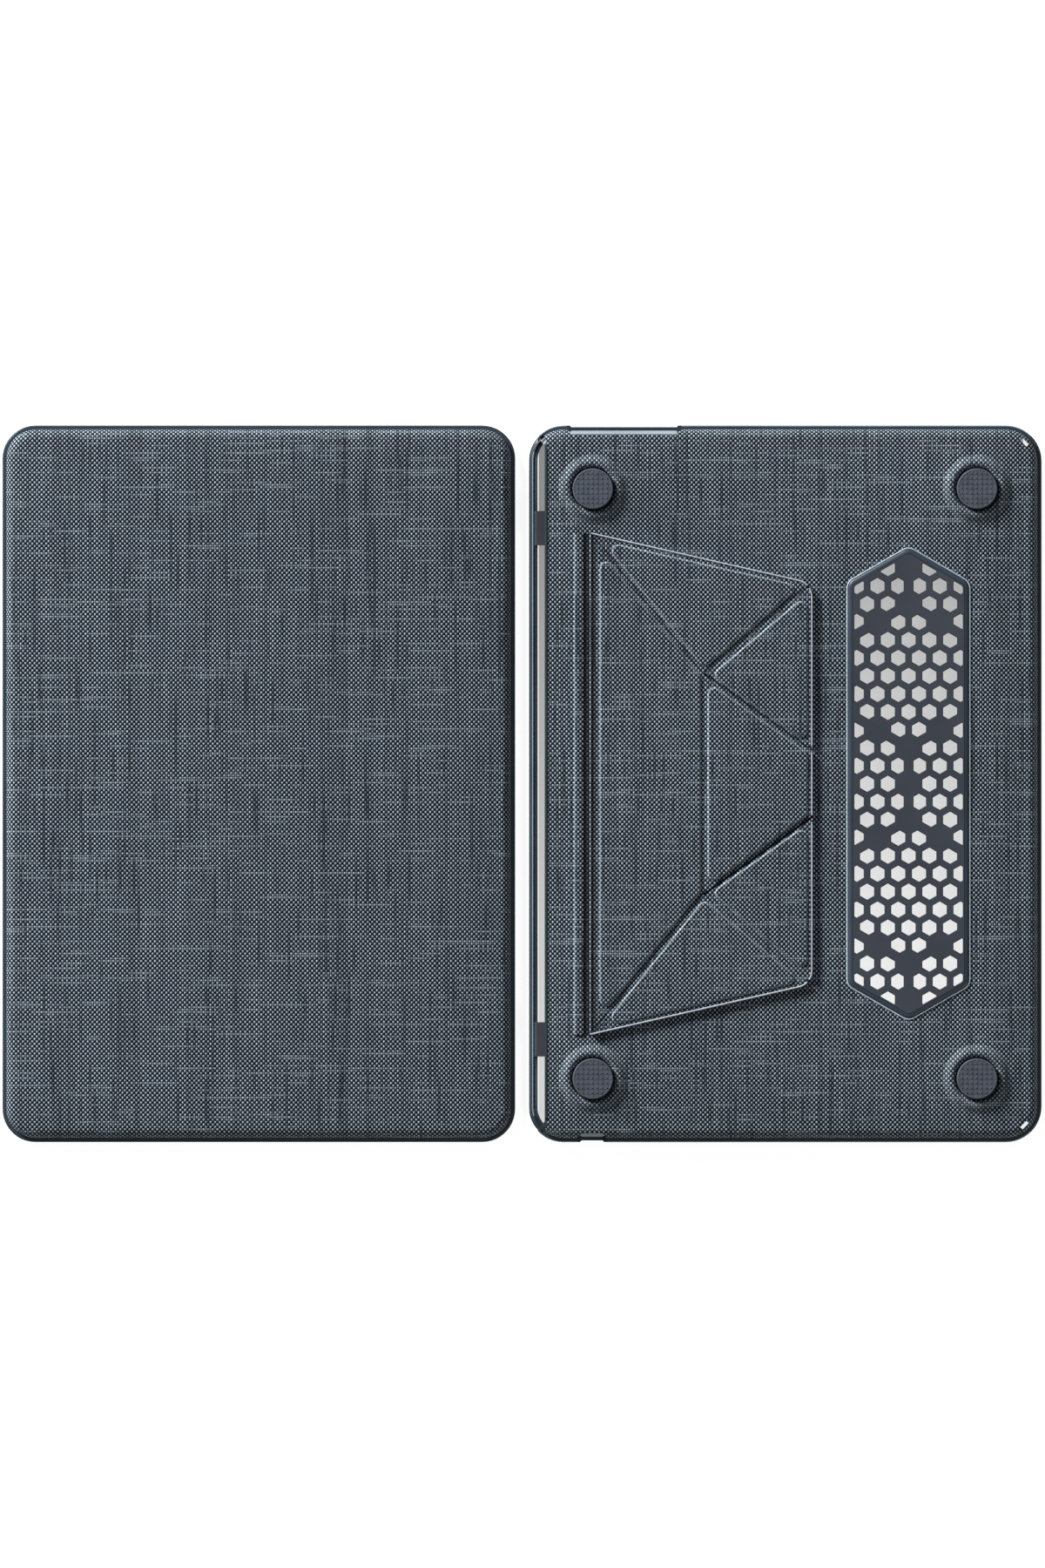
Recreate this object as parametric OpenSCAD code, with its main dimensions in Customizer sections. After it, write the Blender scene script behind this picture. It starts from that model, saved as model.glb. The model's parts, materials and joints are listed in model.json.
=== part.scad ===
// Two-piece fabric-covered hard-shell laptop case, outer faces up, with a folding stand.
// The lid half lies at -X and the base half at +X, both on their open rims at Z = 0.

/* [Both halves] */
// Outside width of both halves, along Y
shell_w = 308.4; // [290:0.1:330]
// Outside depth of each half, along X
shell_d = 220.7; // [205:0.1:240]
// Space from the middle of the layout to the near edge of each half
half_gap = 2.9; // [1:0.1:20]
// Wall thickness of the rims
wall_t = 1.5; // [1:0.1:2]
// Thickness of the flat plate under the fabric
plate_t = 1.2; // [0.8:0.1:2]
// Thickness of the laminated fabric
fabric_t = 0.9; // [0.4:0.1:1.2]
// Width of the bare plastic rim round the fabric
rim_w = 1.8; // [1:0.1:3]
// Radius of the rolled fabric edge
roll_r = 4; // [3.2:0.1:5]
// Radius on the outer edge of the bare rim
rim_round = 0.7; // [0.2:0.1:1]

/* [Lid half] */
// Overall height of the lid half
lid_h = 6.6; // [6:0.1:9]
// Corner radius of the lid half
lid_corner_r = 14.2; // [10:0.1:20]

/* [Base half] */
// Height of the base half up to its fabric face
base_h = 10; // [9:0.1:14]
// Corner radius of the base half
base_corner_r = 15.4; // [12:0.1:20]
// How far the base shell's rear corners reach past the lid's edge line
rear_overhang = 0.4; // [0:0.1:1]
// Width of the through slot along the hinge side
hinge_slot_w = 3; // [2:0.1:4]
// Distance from the rear corner line to the plate's rear edge
rear_edge_inset = 7.3; // [6.5:0.1:9]
// Width of the moulded hem along the plate's rear edge
hem_w = 1.5; // [1:0.1:3]
// Bevel on the hem's rear edge
hem_bevel = 0.6; // [0.2:0.1:0.8]
// Height of the hinge-side rail
rail_h = 4.2; // [3:0.1:5.5]
// Height of the fine ridge on the rail
rail_ridge_h = 0.35; // [0.2:0.05:0.8]
// Width of the fine ridge on the rail, at its foot
rail_ridge_w = 0.8; // [0.4:0.05:1.2]
// Width of the flat on top of the ridge
rail_ridge_top_w = 0.2; // [0.1:0.05:0.4]
// Chamfer on the rail's outer edge
rail_chamfer = 0.5; // [0.2:0.1:1]
// Thickness of the rear clips
clip_t = 1.4; // [1:0.1:2]
// Distance of each rear clip from the middle
clip_y = 109.9; // [80:0.1:125]
// Width of each rear clip
clip_w = 14.8; // [8:0.1:20]

/* [Side windows] */
// Middle of the port window, from the plate's rear edge
port_x = 34.15; // [30:0.05:50]
// Width of the port window
port_w = 45.3; // [30:0.1:55]
// Middle of the headphone window, from the plate's rear edge
audio_x = 20.4; // [14:0.1:40]
// Width of the headphone window
audio_w = 9; // [6:0.1:14]
// Height of the bar that closes each window below
sill_h = 1.6; // [1:0.1:2.4]
// Height of each side window
window_h = 5.4; // [4.6:0.1:6]
// How far each window's bar stands back from the side
window_recess = 0.7; // [0.2:0.1:1]
// How far each window's bar reaches under the lip above it
bar_under_lip = 0.1; // [0:0.05:0.4]
// Depth of the bevelled lip above each window, from the side
lip_in = 3.9; // [3:0.1:5]
// Width of the bevelled lip
lip_w = 1.5; // [1:0.1:2]

/* [Corner slits] */
// Length of the relief slit at each front corner
slit_len = 3.7; // [2:0.1:6]
// Width of the relief slit
slit_w = 1.5; // [0.8:0.1:2.5]
// Distance of the slit from the side and the front edge
slit_inset = 7.4; // [6:0.1:10]

/* [Feet] */
// Radius of each rubber foot
foot_r = 8.7; // [6:0.1:12]
// Height that each foot stands out of the fabric face
foot_rise = 3.2; // [3:0.1:6]
// Distance of the rear feet from the plate's rear edge
foot_rear_x = 20.7; // [16:0.1:24]
// Distance of the front feet from the front edge
foot_front_inset = 27.9; // [20:0.1:40]
// Distance of each foot from the middle
foot_y = 126.8; // [122:0.1:132]
// Free ring round each foot
foot_gap = 0.9; // [0.5:0.1:2]
// Radius at the bottom of the fabric mound round each foot
mound_r = 14.5; // [13.5:0.1:18]
// Height of the fabric mound round each foot
mound_h = 1.3; // [0.5:0.1:2]
// Thickness of the adhesive disc under each foot
glue_t = 0.2; // [0.1:0.05:0.4]
// Free ring between the adhesive disc and the foot's edge
glue_inset = 0.4; // [0.2:0.1:1]
// Radius of the foot's upper edge
foot_edge_r = 0.8; // [0.4:0.1:1.2]
// Thickness of the plastic ring that backs the fabric mound
boss_wall_t = 0.8; // [0.6:0.1:1.2]

/* [Vent] */
// How far the vent's middle lies behind the middle of the space past the stand
vent_back = 8; // [4:0.1:10]
// Width of the vent frame
vent_w = 53.4; // [50:0.1:60]
// Distance from the middle to each pointed end
vent_tip_y = 102.3; // [98:0.1:108]
// Slope of the pointed ends
vent_slope = 30; // [25:1:35]
// Corner radius of the vent frame
vent_round = 5; // [3:0.1:7]
// Width of the frame's bezel
bezel_w = 1.3; // [0.8:0.1:2]
// Height of the bezel above the fabric
bezel_h = 0.6; // [0.3:0.1:1.2]
// Thickness of the frame's skirt through the shell
skirt_t = 0.8; // [0.6:0.1:1.2]
// Thickness of the grille plate
grille_t = 1.2; // [0.8:0.1:1.4]
// Depth of the grille below the fabric face
grille_drop = 0.4; // [0.1:0.1:0.6]
// Width of a hexagonal hole across its flats
hole_w = 6.1; // [4:0.1:7]
// Distance between hole centres
hole_pitch = 8.925; // [8:0.005:10]
// Solid border round the holes
hole_border = 0.9; // [0.6:0.1:2]
// Width of the solid ribs that trim the holes beside them
rib_w = 4.3; // [3:0.1:5]

/* [Stand] */
// Hinge line of the stand, from the plate's rear edge
stand_x = 19.7; // [17:0.1:24]
// Half length of the stand at its hinge line
stand_half_y = 108; // [100:0.1:112]
// Distance from the hinge line to the fold between main panel and brace
apex_x = 48.85; // [44:0.05:54]
// Half length of that fold
apex_half_y = 47; // [40:0.1:54]
// Distance from the hinge line to the free edge
stand_d = 95.5; // [90:0.1:102]
// Half length of the free edge, before rounding
free_half_y = 86.3; // [80:0.1:92]
// Half length of the brace's free edge
brace_half_y = 13.7; // [10:0.1:18]
// Radius of the stand's free corners
stand_corner_r = 7.6; // [4:0.1:12]
// Clear space between the stand and the base fabric
stand_gap = 0.3; // [0.3:0.05:0.6]
// Thickness of the inner lining
lining_t = 0.3; // [0.2:0.05:0.5]
// Thickness of the stiffener boards
board_t = 1.4; // [1:0.1:1.8]
// Thickness of the outer cover
cover_t = 0.5; // [0.3:0.05:0.7]
// Gap between neighbouring panels at a fold
fold_gap = 0.3; // [0.2:0.05:0.6]
// Extra gap at the fold that is left open, on the gusset's side
open_fold_gap = 1; // [0.8:0.05:1.4]
// Width of the groove along each fold
groove_w = 3.4; // [3:0.1:5]
// Distance from the hinge line to the main panel's board
hinge_groove_w = 4.3; // [3:0.1:6]
// Flat margin along the free edges
margin_w = 2.5; // [1.5:0.1:4]
// Corner radius of the raised panels
panel_round = 2; // [1:0.1:3]
// Radius of the relief hole where four folds meet
relief_r = 1; // [0.8:0.1:2]
// Width of the strip that holds the stand to the base
strip_w = 7; // [5:0.1:8]
// Width of the strip's raised part, beside the hinge groove
strip_raised_w = 4.2; // [2:0.1:4.6]
// Height of the strip's raised part above the base fabric
strip_raised_h = 1; // [0.6:0.05:1.2]
// How much wider a wing's groove is along its gusset
wide_groove_extra = 0.5; // [0:0.1:1]

/* [Magnets] */
// Radius of the magnets in the brace
magnet_r = 4; // [3:0.1:5]
// Thickness of the magnets
magnet_t = 1; // [0.6:0.1:1]
// Distance of each magnet from the middle
magnet_y = 16; // [8:0.1:22]
// Thickness of the steel keeper discs in the base
keeper_t = 0.6; // [0.4:0.1:0.8]

/* [Hidden] */

$fn = 48;
eps = 0.01;
arc_steps = 6;
far = 400;

// Edges of the two halves
half_w = shell_w / 2;
lid_x0 = -half_gap - shell_d;
lid_x1 = -half_gap;
base_x0 = half_gap - rear_overhang;
base_x1 = half_gap + shell_d;
plate_x0 = base_x0 + rear_edge_inset;
foot_x = [plate_x0 + foot_rear_x, base_x1 - foot_front_inset];
hinge_x = plate_x0 + stand_x;
vent_mid_x = (hinge_x + stand_d + base_x1) / 2 - vent_back;
magnet_x = (apex_x + stand_d) / 2;
keeper_x = hinge_x + magnet_x;

// Levels of the base half
base_plate_z1 = base_h - fabric_t;
base_plate_z0 = base_plate_z1 - plate_t;
foot_z0 = base_plate_z1 + glue_t;
foot_z1 = base_h + foot_rise;
stand_z = base_h + stand_gap;

// Hinge-side rail: it stands back a little from the shell's rear corners
rail_back = 0.57;
rail_end_back = 0.9;
rail_x0 = base_x0 + rail_back;
rail_x1 = plate_x0 - hinge_slot_w;
rail_w = rail_x1 - rail_x0;
rail_corner_in = 1.6;
rail_corner_r = base_corner_r - rail_corner_in;
rail_corner_y = half_w - rail_corner_r - rail_end_back;
rail_sweep = 56;
// Share of the rail's width that lies outside its ridge
ridge_share = 0.48;

// How far cuts run past what they cut
over = 8;
// Steps of the small roundings
small_steps = 4;
// Smallest corner radius left when an outline is moved inwards
least_round = 1;
// Outward reach of a window's slanted ends past the side
flare = 1;
// Depth of a window lip's root, behind its upper edge
lip_root = 2;

// Colours
plastic = [0.17, 0.22, 0.25];
cloth = [0.36, 0.42, 0.46];
slate = [0.26, 0.29, 0.34];
steel = [0.6, 0.62, 0.64];
board_grey = [0.5, 0.5, 0.48];

// ---------- plane helpers ----------

function unit(v) = v / norm(v);

function at(list, i) = list[(i + len(list)) % len(list)];

// Points of an arc round centre c, from angle a0 to a1
function arc(c, r, a0, a1, steps) =
    [for (k = [0:steps]) let (a = a0 + (a1 - a0) * k / steps) c + r * [cos(a), sin(a)]];

// One corner of a counter-clockwise outline, rounded with radius r
function corner(a, p, b, r, steps) =
    let (
        d1 = unit(a - p),
        d2 = unit(b - p),
        half = acos(d1 * d2) / 2,
        centre = p + unit(d1 + d2) * r / sin(half),
        from = p + d1 * r / tan(half) - centre,
        to = p + d2 * r / tan(half) - centre,
        sweep = 180 - 2 * half
    )
    r <= 0 ? [p] : [for (k = [0:steps])
        centre + (sin(sweep * (1 - k / steps)) * from + sin(sweep * k / steps) * to) / sin(sweep)];

// A counter-clockwise outline with all its corners rounded, one radius for each
function rounded(pts, radii, steps) =
    [for (i = [0:len(pts) - 1])
        each corner(at(pts, i - 1), pts[i], at(pts, i + 1), radii[i], steps)];

// A counter-clockwise outline moved inwards, edge i (from point i to the next) by dists[i]
function inset(pts, dists) =
    [for (i = [0:len(pts) - 1])
        let (
            u = unit(pts[i] - at(pts, i - 1)),
            v = unit(at(pts, i + 1) - pts[i]),
            nu = [-u.y, u.x],
            nv = [-v.y, v.x],
            du = at(dists, i - 1),
            dv = dists[i],
            det = nu.x * nv.y - nu.y * nv.x
        )
        pts[i] + [du * nv.y - dv * nu.y, nu.x * dv - nv.x * du] / det];

// A list with the same value n times
function times(n, value) = [for (k = [1:n]) value];

// ---------- trays with rolled edges ----------

// Runs an edge profile round a rectangle with rounded corners and fills the middle.
// The profile's X is the distance outwards from the corner centres.
module edge_run(x0, x1, r, z0, z1) {
    cx = [x0 + r, x1 - r];
    cy = half_w - r;
    // corners
    translate([cx[1], cy, 0]) rotate_extrude(angle = 90) children();
    translate([cx[0], cy, 0]) rotate([0, 0, 90]) rotate_extrude(angle = 90) children();
    translate([cx[0], -cy, 0]) rotate([0, 0, 180]) rotate_extrude(angle = 90) children();
    translate([cx[1], -cy, 0]) rotate([0, 0, 270]) rotate_extrude(angle = 90) children();
    // sides
    translate([cx[1], cy, 0]) rotate([90, 0, 0]) linear_extrude(2 * cy) children();
    translate([cx[0], -cy, 0]) rotate([90, 0, 180]) linear_extrude(2 * cy) children();
    translate([cx[0], cy, 0]) rotate([90, 0, 90]) linear_extrude(cx[1] - cx[0]) children();
    translate([cx[1], -cy, 0]) rotate([90, 0, 270]) linear_extrude(cx[1] - cx[0]) children();
    // middle
    translate([cx[0], -cy, z0]) cube([cx[1] - cx[0], 2 * cy, z1 - z0]);
}

// Wall, ledge and rolled shoulder of a moulded tray of height h and corner radius r
module shell_profile(h, r) {
    ledge_z = h - roll_r;
    roll_c = [r - rim_w - roll_r, ledge_z];
    outer_r = roll_r - fabric_t;
    inner_r = outer_r - plate_t;
    polygon(concat(
        [[r - wall_t, 0], [r, 0]],
        arc([r - rim_round, ledge_z - rim_round], rim_round, 0, 90, small_steps),
        arc(roll_c, outer_r, 0, 90, arc_steps),
        [[0, h - fabric_t], [0, h - fabric_t - plate_t]],
        arc(roll_c, inner_r, 90, 0, arc_steps),
        [[roll_c.x + inner_r, ledge_z - plate_t], [r - wall_t, ledge_z - plate_t]]));
}

// Rolled fabric skin on the same shoulder
module fabric_profile(h, r) {
    roll_c = [r - rim_w - roll_r, h - roll_r];
    polygon(concat(
        arc(roll_c, roll_r, 0, 90, arc_steps),
        [[0, h], [0, h - fabric_t]],
        arc(roll_c, roll_r - fabric_t, 90, 0, arc_steps)));
}

module tray(x0, x1, h, r) {
    edge_run(x0, x1, r, h - fabric_t - plate_t, h - fabric_t) shell_profile(h, r);
}

module skin(x0, x1, h, r) {
    edge_run(x0, x1, r, h - fabric_t, h) fabric_profile(h, r);
}

// Small hook on a rim's inner face that snaps over the laptop's edge, pointing along +X
hook_len = 12;
hook_h = 0.8;
hook_reach = 0.5;
// Where the front edge's outer hooks lie, as a share of the half width
hook_share = 0.55;
module hook() {
    translate([-wall_t / 2, -hook_len / 2, 0]) cube([wall_t / 2 + hook_reach, hook_len, hook_h]);
}

// Hooks along the front edge and the two sides of a half
hook_side_x = 70;
module hooks(x0, x1, front_x, front_dir) {
    for (s = [-1, 0, 1])
        translate([front_x - front_dir * wall_t, s * half_w * hook_share, 0])
            mirror([front_dir > 0 ? 1 : 0, 0, 0]) hook();
    for (s = [-1, 1], x = [(x0 + x1) / 2 - hook_side_x / 2, (x0 + x1) / 2 + hook_side_x / 2])
        translate([x, s * (half_w - wall_t), 0]) rotate([0, 0, -s * 90]) hook();
}

// ---------- lid half ----------

module lid_shell() {
    color(plastic) {
        tray(lid_x0, lid_x1, lid_h, lid_corner_r);
        hooks(lid_x0, lid_x1, lid_x0, -1);
    }
}

module lid_fabric() {
    color(cloth) skin(lid_x0, lid_x1, lid_h, lid_corner_r);
}

// ---------- base half ----------

// Makes a closed plan from the outline's +Y half, listed from the front to the rear
function both_sides(pts) = concat(pts, [for (i = [len(pts) - 1:-1:0]) [pts[i].x, -pts[i].y]]);

// Where the rail's outline comes out from under each rear corner
kink_in = 4.2;
kink_side = 4.9;
kink = [base_x0 + kink_in, half_w - kink_side];

// Plan of what is cut away behind the plate's rear edge, between the rear corners
rear_cut_side = 9;
rear_cut_y = half_w - rear_cut_side;
kink_run = [-5.2, 7.5];
rear_cut_rise = 2.6;
rear_cut = both_sides([
    [plate_x0, rear_cut_y], kink, kink + kink_run, [base_x0 - over, half_w + rear_cut_rise]]);

// Plan of where the fabric stops behind the hem
hem_x = plate_x0 + hem_w;
hem_end = 1.4;
hem_y = rear_cut_y - hem_end;
fabric_back = [1.3, 4.2];
fabric_cut_rise = 5;
fabric_cut = both_sides([
    [hem_x, hem_y], [hem_x - fabric_back[0], kink.y], [hem_x - fabric_back[1], half_w],
    [base_x0 - over, half_w + fabric_cut_rise]]);

module prism(pts, z0, z1) {
    translate([0, 0, z0]) linear_extrude(z1 - z0) polygon(pts);
}

// Plan of a side window at the +Y side: w is its width at the depth d from the side
function window_plan(x, w, d) =
    [[x - w / 2, half_w - d], [x + w / 2, half_w - d],
     [x + w / 2 + d + flare, half_w + flare], [x - w / 2 - d - flare, half_w + flare]];

// What a side window removes from the shell
module window_cut(x, w) {
    // the way in for the plug
    translate([x - w / 2, half_w - lip_in - wall_t, sill_h]) cube([w, far, window_h]);
    // open top outside the lip
    prism(window_plan(x, w, lip_in - lip_w), sill_h, far);
    // recessed bar
    prism(window_plan(x, w, window_recess), -1, far);
}

// Bevelled plastic lip that carries on above a window
module window_lip(x, w) {
    y0 = half_w - lip_in;
    y1 = y0 + lip_w;
    y2 = y0 - lip_root;
    z0 = sill_h + window_h;
    z1 = base_plate_z1 + fabric_t / 2;
    root_z = base_plate_z0 + eps;
    translate([x - w / 2, 0, 0]) rotate([90, 0, 90]) linear_extrude(w)
        polygon([[y2, z0], [y1, z0], [y1, z1 - lip_w], [y0, z1], [y0, root_z], [y2, root_z]]);
}

// Bar that closes a window below, from the side to just under the lip
module window_bar(x, w) {
    depth = lip_in - lip_w + bar_under_lip;
    translate([x - w / 2 - flare, half_w - depth, 0])
        cube([w + 2 * flare, depth - window_recess, sill_h]);
}

// Section of the rail. X is the distance outwards from the centres of its corner ends.
module rail_profile() {
    inner = rail_corner_r - rail_w;
    ridge = rail_corner_r - rail_w * ridge_share;
    polygon([
        [inner, 0], [rail_corner_r, 0], [rail_corner_r, rail_h - rail_chamfer],
        [rail_corner_r - rail_chamfer, rail_h], [ridge + rail_ridge_w / 2, rail_h],
        [ridge + rail_ridge_top_w / 2, rail_h + rail_ridge_h],
        [ridge - rail_ridge_top_w / 2, rail_h + rail_ridge_h],
        [ridge - rail_ridge_w / 2, rail_h], [inner, rail_h]]);
}

// Rail along the hinge side, with its corner ends reaching under the shell's corners
module rail() {
    cx = rail_x0 + rail_corner_r;
    translate([cx, -rail_corner_y, 0]) rotate([90, 0, 180])
        linear_extrude(2 * rail_corner_y) rail_profile();
    for (s = [0, 1]) mirror([0, s, 0])
        translate([cx, rail_corner_y, 0]) rotate([0, 0, 180 - rail_sweep])
            rotate_extrude(angle = rail_sweep) rail_profile();
}

// Clip that hooks round the laptop's rear edge and carries the rail
module rear_clip() {
    foot_z = rail_h - clip_t / 2;
    translate([rail_x1 - clip_t, -clip_w / 2, foot_z])
        cube([clip_t, clip_w, base_plate_z1 - foot_z]);
    translate([rail_x1 - clip_t, -clip_w / 2, base_plate_z0])
        cube([plate_x0 - rail_x1 + clip_t + hem_w / 2, clip_w, plate_t]);
}

// Moulded hem along the plate's rear edge, flush with the fabric
module hem() {
    translate([plate_x0, hem_y, 0]) rotate([90, 0, 0]) linear_extrude(2 * hem_y)
        polygon([
            [0, base_plate_z0], [hem_w, base_plate_z0], [hem_w, base_h],
            [hem_bevel, base_h], [0, base_h - hem_bevel]]);
}

module foot_places() {
    for (x = foot_x, s = [-1, 1]) translate([x, s * foot_y, 0]) children();
}

foot_well_r = foot_r + foot_gap;
crest_r = foot_well_r + boss_wall_t;

// Ring that stands on the shell's plate round a foot
module foot_boss() {
    translate([0, 0, base_plate_z1 - eps]) difference() {
        cylinder(r = crest_r, h = mound_h + eps);
        translate([0, 0, -over / 2]) cylinder(r = foot_well_r, h = mound_h + over);
    }
}

// Slits at the front corners and the small ones at the rear corners
rear_slit_len = 1.6;
rear_slit_w = 0.8;
rear_slit_in = 1.1;
rear_slit_side = 5.1;
module slits() {
    for (s = [-1, 1]) {
        translate([base_x1 - slit_inset, s * (half_w - slit_inset), base_h / 2])
            rotate([0, 0, -s * 45]) cube([slit_len, slit_w, 4 * base_h], center = true);
        translate([plate_x0 - rear_slit_in, s * (half_w - rear_slit_side), base_h / 2])
            rotate([0, 0, s * 45]) cube([rear_slit_len, rear_slit_w, 4 * base_h], center = true);
    }
}

module base_shell() {
    port_mid = plate_x0 + port_x;
    audio_mid = plate_x0 + audio_x;
    color(plastic) {
        difference() {
            union() {
                tray(base_x0, base_x1, base_h, base_corner_r);
                window_lip(port_mid, port_w);
                mirror([0, 1, 0]) window_lip(audio_mid, audio_w);
            }
            prism(rear_cut, -1, far);
            window_cut(port_mid, port_w);
            mirror([0, 1, 0]) window_cut(audio_mid, audio_w);
            prism(vent_outline(bezel_w), base_plate_z0 - 1, far);
            for (s = [-1, 1]) translate([keeper_x, s * magnet_y, base_plate_z1 - keeper_t])
                cylinder(r = magnet_r + fold_gap, h = far);
            slits();
        }
        window_bar(port_mid, port_w);
        mirror([0, 1, 0]) window_bar(audio_mid, audio_w);
        hem();
        rail();
        for (s = [-1, 1]) translate([0, s * clip_y, 0]) rear_clip();
        foot_places() foot_boss();
        hooks(base_x0, base_x1, base_x1, 1);
    }
}

module base_fabric() {
    color(cloth) difference() {
        union() {
            skin(base_x0, base_x1, base_h, base_corner_r);
            foot_places() fabric_mound();
        }
        prism(fabric_cut, -1, far);
        prism(window_plan(plate_x0 + port_x, port_w, lip_in), -1, far);
        mirror([0, 1, 0]) prism(window_plan(plate_x0 + audio_x, audio_w, lip_in), -1, far);
        prism(vent_outline(bezel_w), 0, far);
        foot_places() translate([0, 0, base_plate_z0]) cylinder(r = foot_well_r, h = far);
        foot_places() translate([0, 0, base_plate_z0]) cylinder(r = crest_r, h = plate_t + mound_h);
        slits();
    }
}

// Soft fabric mound: a low dome of revolution round the foot's well
module fabric_mound() {
    translate([0, 0, base_h - fabric_t / 2]) rotate_extrude() polygon(concat(
        [[0, 0], [mound_r, 0], [mound_r, fabric_t / 2]],
        [for (k = [1:arc_steps - 1]) let (f = k / arc_steps)
            [mound_r + (crest_r - mound_r) * f, fabric_t / 2 + mound_h * (1 - cos(180 * f)) / 2]],
        [[crest_r, fabric_t / 2 + mound_h], [0, fabric_t / 2 + mound_h]]));
}

// ---------- feet ----------

// Rubber foot with a rounded rim
module foot() {
    rotate_extrude() polygon(concat(
        [[0, foot_z0], [foot_r, foot_z0]],
        arc([foot_r - foot_edge_r, foot_z1 - foot_edge_r], foot_edge_r, 0, 90, small_steps),
        [[0, foot_z1]]));
}

module foot_at(i, s) {
    color(slate) translate([foot_x[i], s * foot_y, 0]) foot();
}
module foot_rear_left() { foot_at(0, 1); }
module foot_rear_right() { foot_at(0, -1); }
module foot_front_left() { foot_at(1, 1); }
module foot_front_right() { foot_at(1, -1); }

module foot_adhesive_discs() {
    color("gainsboro") foot_places() translate([0, 0, base_plate_z1])
        cylinder(r = foot_r - glue_inset, h = glue_t);
}

// ---------- vent ----------

// Outline of the vent frame moved inwards by d
function vent_outline(d) =
    let (
        shoulder_y = vent_tip_y - tan(vent_slope) * vent_w / 2,
        pts = inset([
            [vent_w / 2, -shoulder_y], [vent_w / 2, shoulder_y], [0, vent_tip_y],
            [-vent_w / 2, shoulder_y], [-vent_w / 2, -shoulder_y], [0, -vent_tip_y]], times(6, d)),
        r = max(vent_round - d, least_round)
    )
    [for (p = rounded(pts, times(6, r), arc_steps)) p + [vent_mid_x, 0]];

module vent_frame() {
    color(slate) difference() {
        union() {
            prism(vent_outline(0), base_h, base_h + bezel_h / 2);
            prism(vent_outline(bezel_h / 2), base_h + bezel_h / 2 - eps, base_h + bezel_h);
            prism(vent_outline(bezel_w), base_plate_z0, base_h + eps);
        }
        prism(vent_outline(bezel_w + skirt_t), -1, far);
    }
}

// Rows of hexagonal holes: which places in a row hold one
row_step = hole_pitch * sin(60);
end_share = 0.4;
rows = floor((vent_tip_y - bezel_w - skirt_t) / row_step - end_share);
function hole_at(k, i) =
    let (a = abs(k))
    (a == 0 || a == 2 || a == rows - 2) ? i != 0 :
    (a == 3 || a == rows - 3) ? abs(i) != 1.5 :
    a == rows ? abs(i) == 1 : true;
function row_places(k) = k % 2 == 0 ? [-2:2] : [-2.5:1:2.5];

module hole_field() {
    for (k = [-rows:rows], i = row_places(k))
        if (hole_at(k, i)) translate([vent_mid_x + i * hole_pitch, k * row_step])
            rotate([0, 0, 90]) circle(d = hole_w / cos(30), $fn = 6);
}

// Solid ribs between the places without a hole, which trim the holes beside them
rib_slant = 30;
rib_len = 3.6 * hole_pitch;
module rib_field() {
    for (k = [-rows + 1, -1, 1, rows - 1])
        translate([vent_mid_x - rib_w / 2, k * row_step - row_step / 2]) square([rib_w, row_step]);
    for (s = [-1, 1], side = [0, 1], end = [[rows - 2, -rib_slant], [2, rib_slant]])
        translate([vent_mid_x, s * end[0] * row_step]) mirror([side, 0]) rotate([0, 0, s * end[1]])
            translate([0, -rib_w / 2]) square([rib_len, rib_w]);
}

module vent_grille() {
    z1 = base_h - grille_drop;
    color(slate) translate([0, 0, z1 - grille_t]) linear_extrude(grille_t) difference() {
        polygon(vent_outline(bezel_w + skirt_t));
        intersection() {
            polygon(vent_outline(bezel_w + skirt_t + hole_border));
            difference() {
                hole_field();
                rib_field();
            }
        }
    }
}

// ---------- stand ----------

// Corner points of the stand, from its hinge line
pt_h = [0, stand_half_y];
pt_v = [apex_x, apex_half_y];
pt_c = [stand_d, free_half_y];
pt_e = [stand_d, brace_half_y];
function low(p) = [p.x, -p.y];

main_pts = [low(pt_h), low(pt_v), pt_v, pt_h];
brace_pts = [low(pt_v), low(pt_e), pt_e, pt_v];
wing_pts = [pt_h, pt_v, pt_c];
gusset_pts = [pt_v, pt_e, pt_c];

// Inset of each panel's skins at its edges
skin_gap = fold_gap / 2;
main_skin = [skin_gap, skin_gap, skin_gap, skin_gap];
brace_skin = [skin_gap, 0, skin_gap, skin_gap];
wing_skin = [skin_gap, skin_gap, 0];
gusset_skin = [open_fold_gap, 0, skin_gap];

// Inset of each raised panel at its edges
half_groove = groove_w / 2;
main_raise = [half_groove, half_groove, half_groove, hinge_groove_w];
brace_raise = [half_groove, margin_w, half_groove, half_groove];
wing_raise = [half_groove, half_groove + wide_groove_extra, margin_w];
gusset_raise = [half_groove, margin_w, half_groove + wide_groove_extra];

// The whole stand's outline, moved inwards by d at its free edges
function stand_outline(d) =
    let (r = max(stand_corner_r - d, least_round))
    rounded(inset([low(pt_h), low(pt_c), pt_c, pt_h], [d, d, d, 0]), [0, r, r, 0], arc_steps);

// Places children() in the stand's frame, on its own underside
module in_stand() {
    translate([hinge_x, 0, stand_z]) children();
}

// Flat layer of a panel: its skin's outline with a relief where the folds meet
module skin_plan(pts, insets) {
    difference() {
        intersection() {
            polygon(inset(pts, insets));
            polygon(stand_outline(0));
        }
        for (s = [-1, 1]) translate([apex_x, s * apex_half_y]) circle(r = relief_r);
    }
}

// Raised part of a panel, moved inwards by d
module raised_plan(pts, insets, d) {
    intersection() {
        polygon(rounded(inset(pts, [for (v = insets) v + d]),
                        times(len(pts), panel_round), small_steps));
        polygon(stand_outline(margin_w + d));
    }
}

module lining(pts, insets) {
    color(slate) in_stand() linear_extrude(lining_t) skin_plan(pts, insets);
}

module board(pts, insets) {
    color(board_grey) in_stand() translate([0, 0, lining_t])
        linear_extrude(board_t) raised_plan(pts, insets, cover_t);
}

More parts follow.
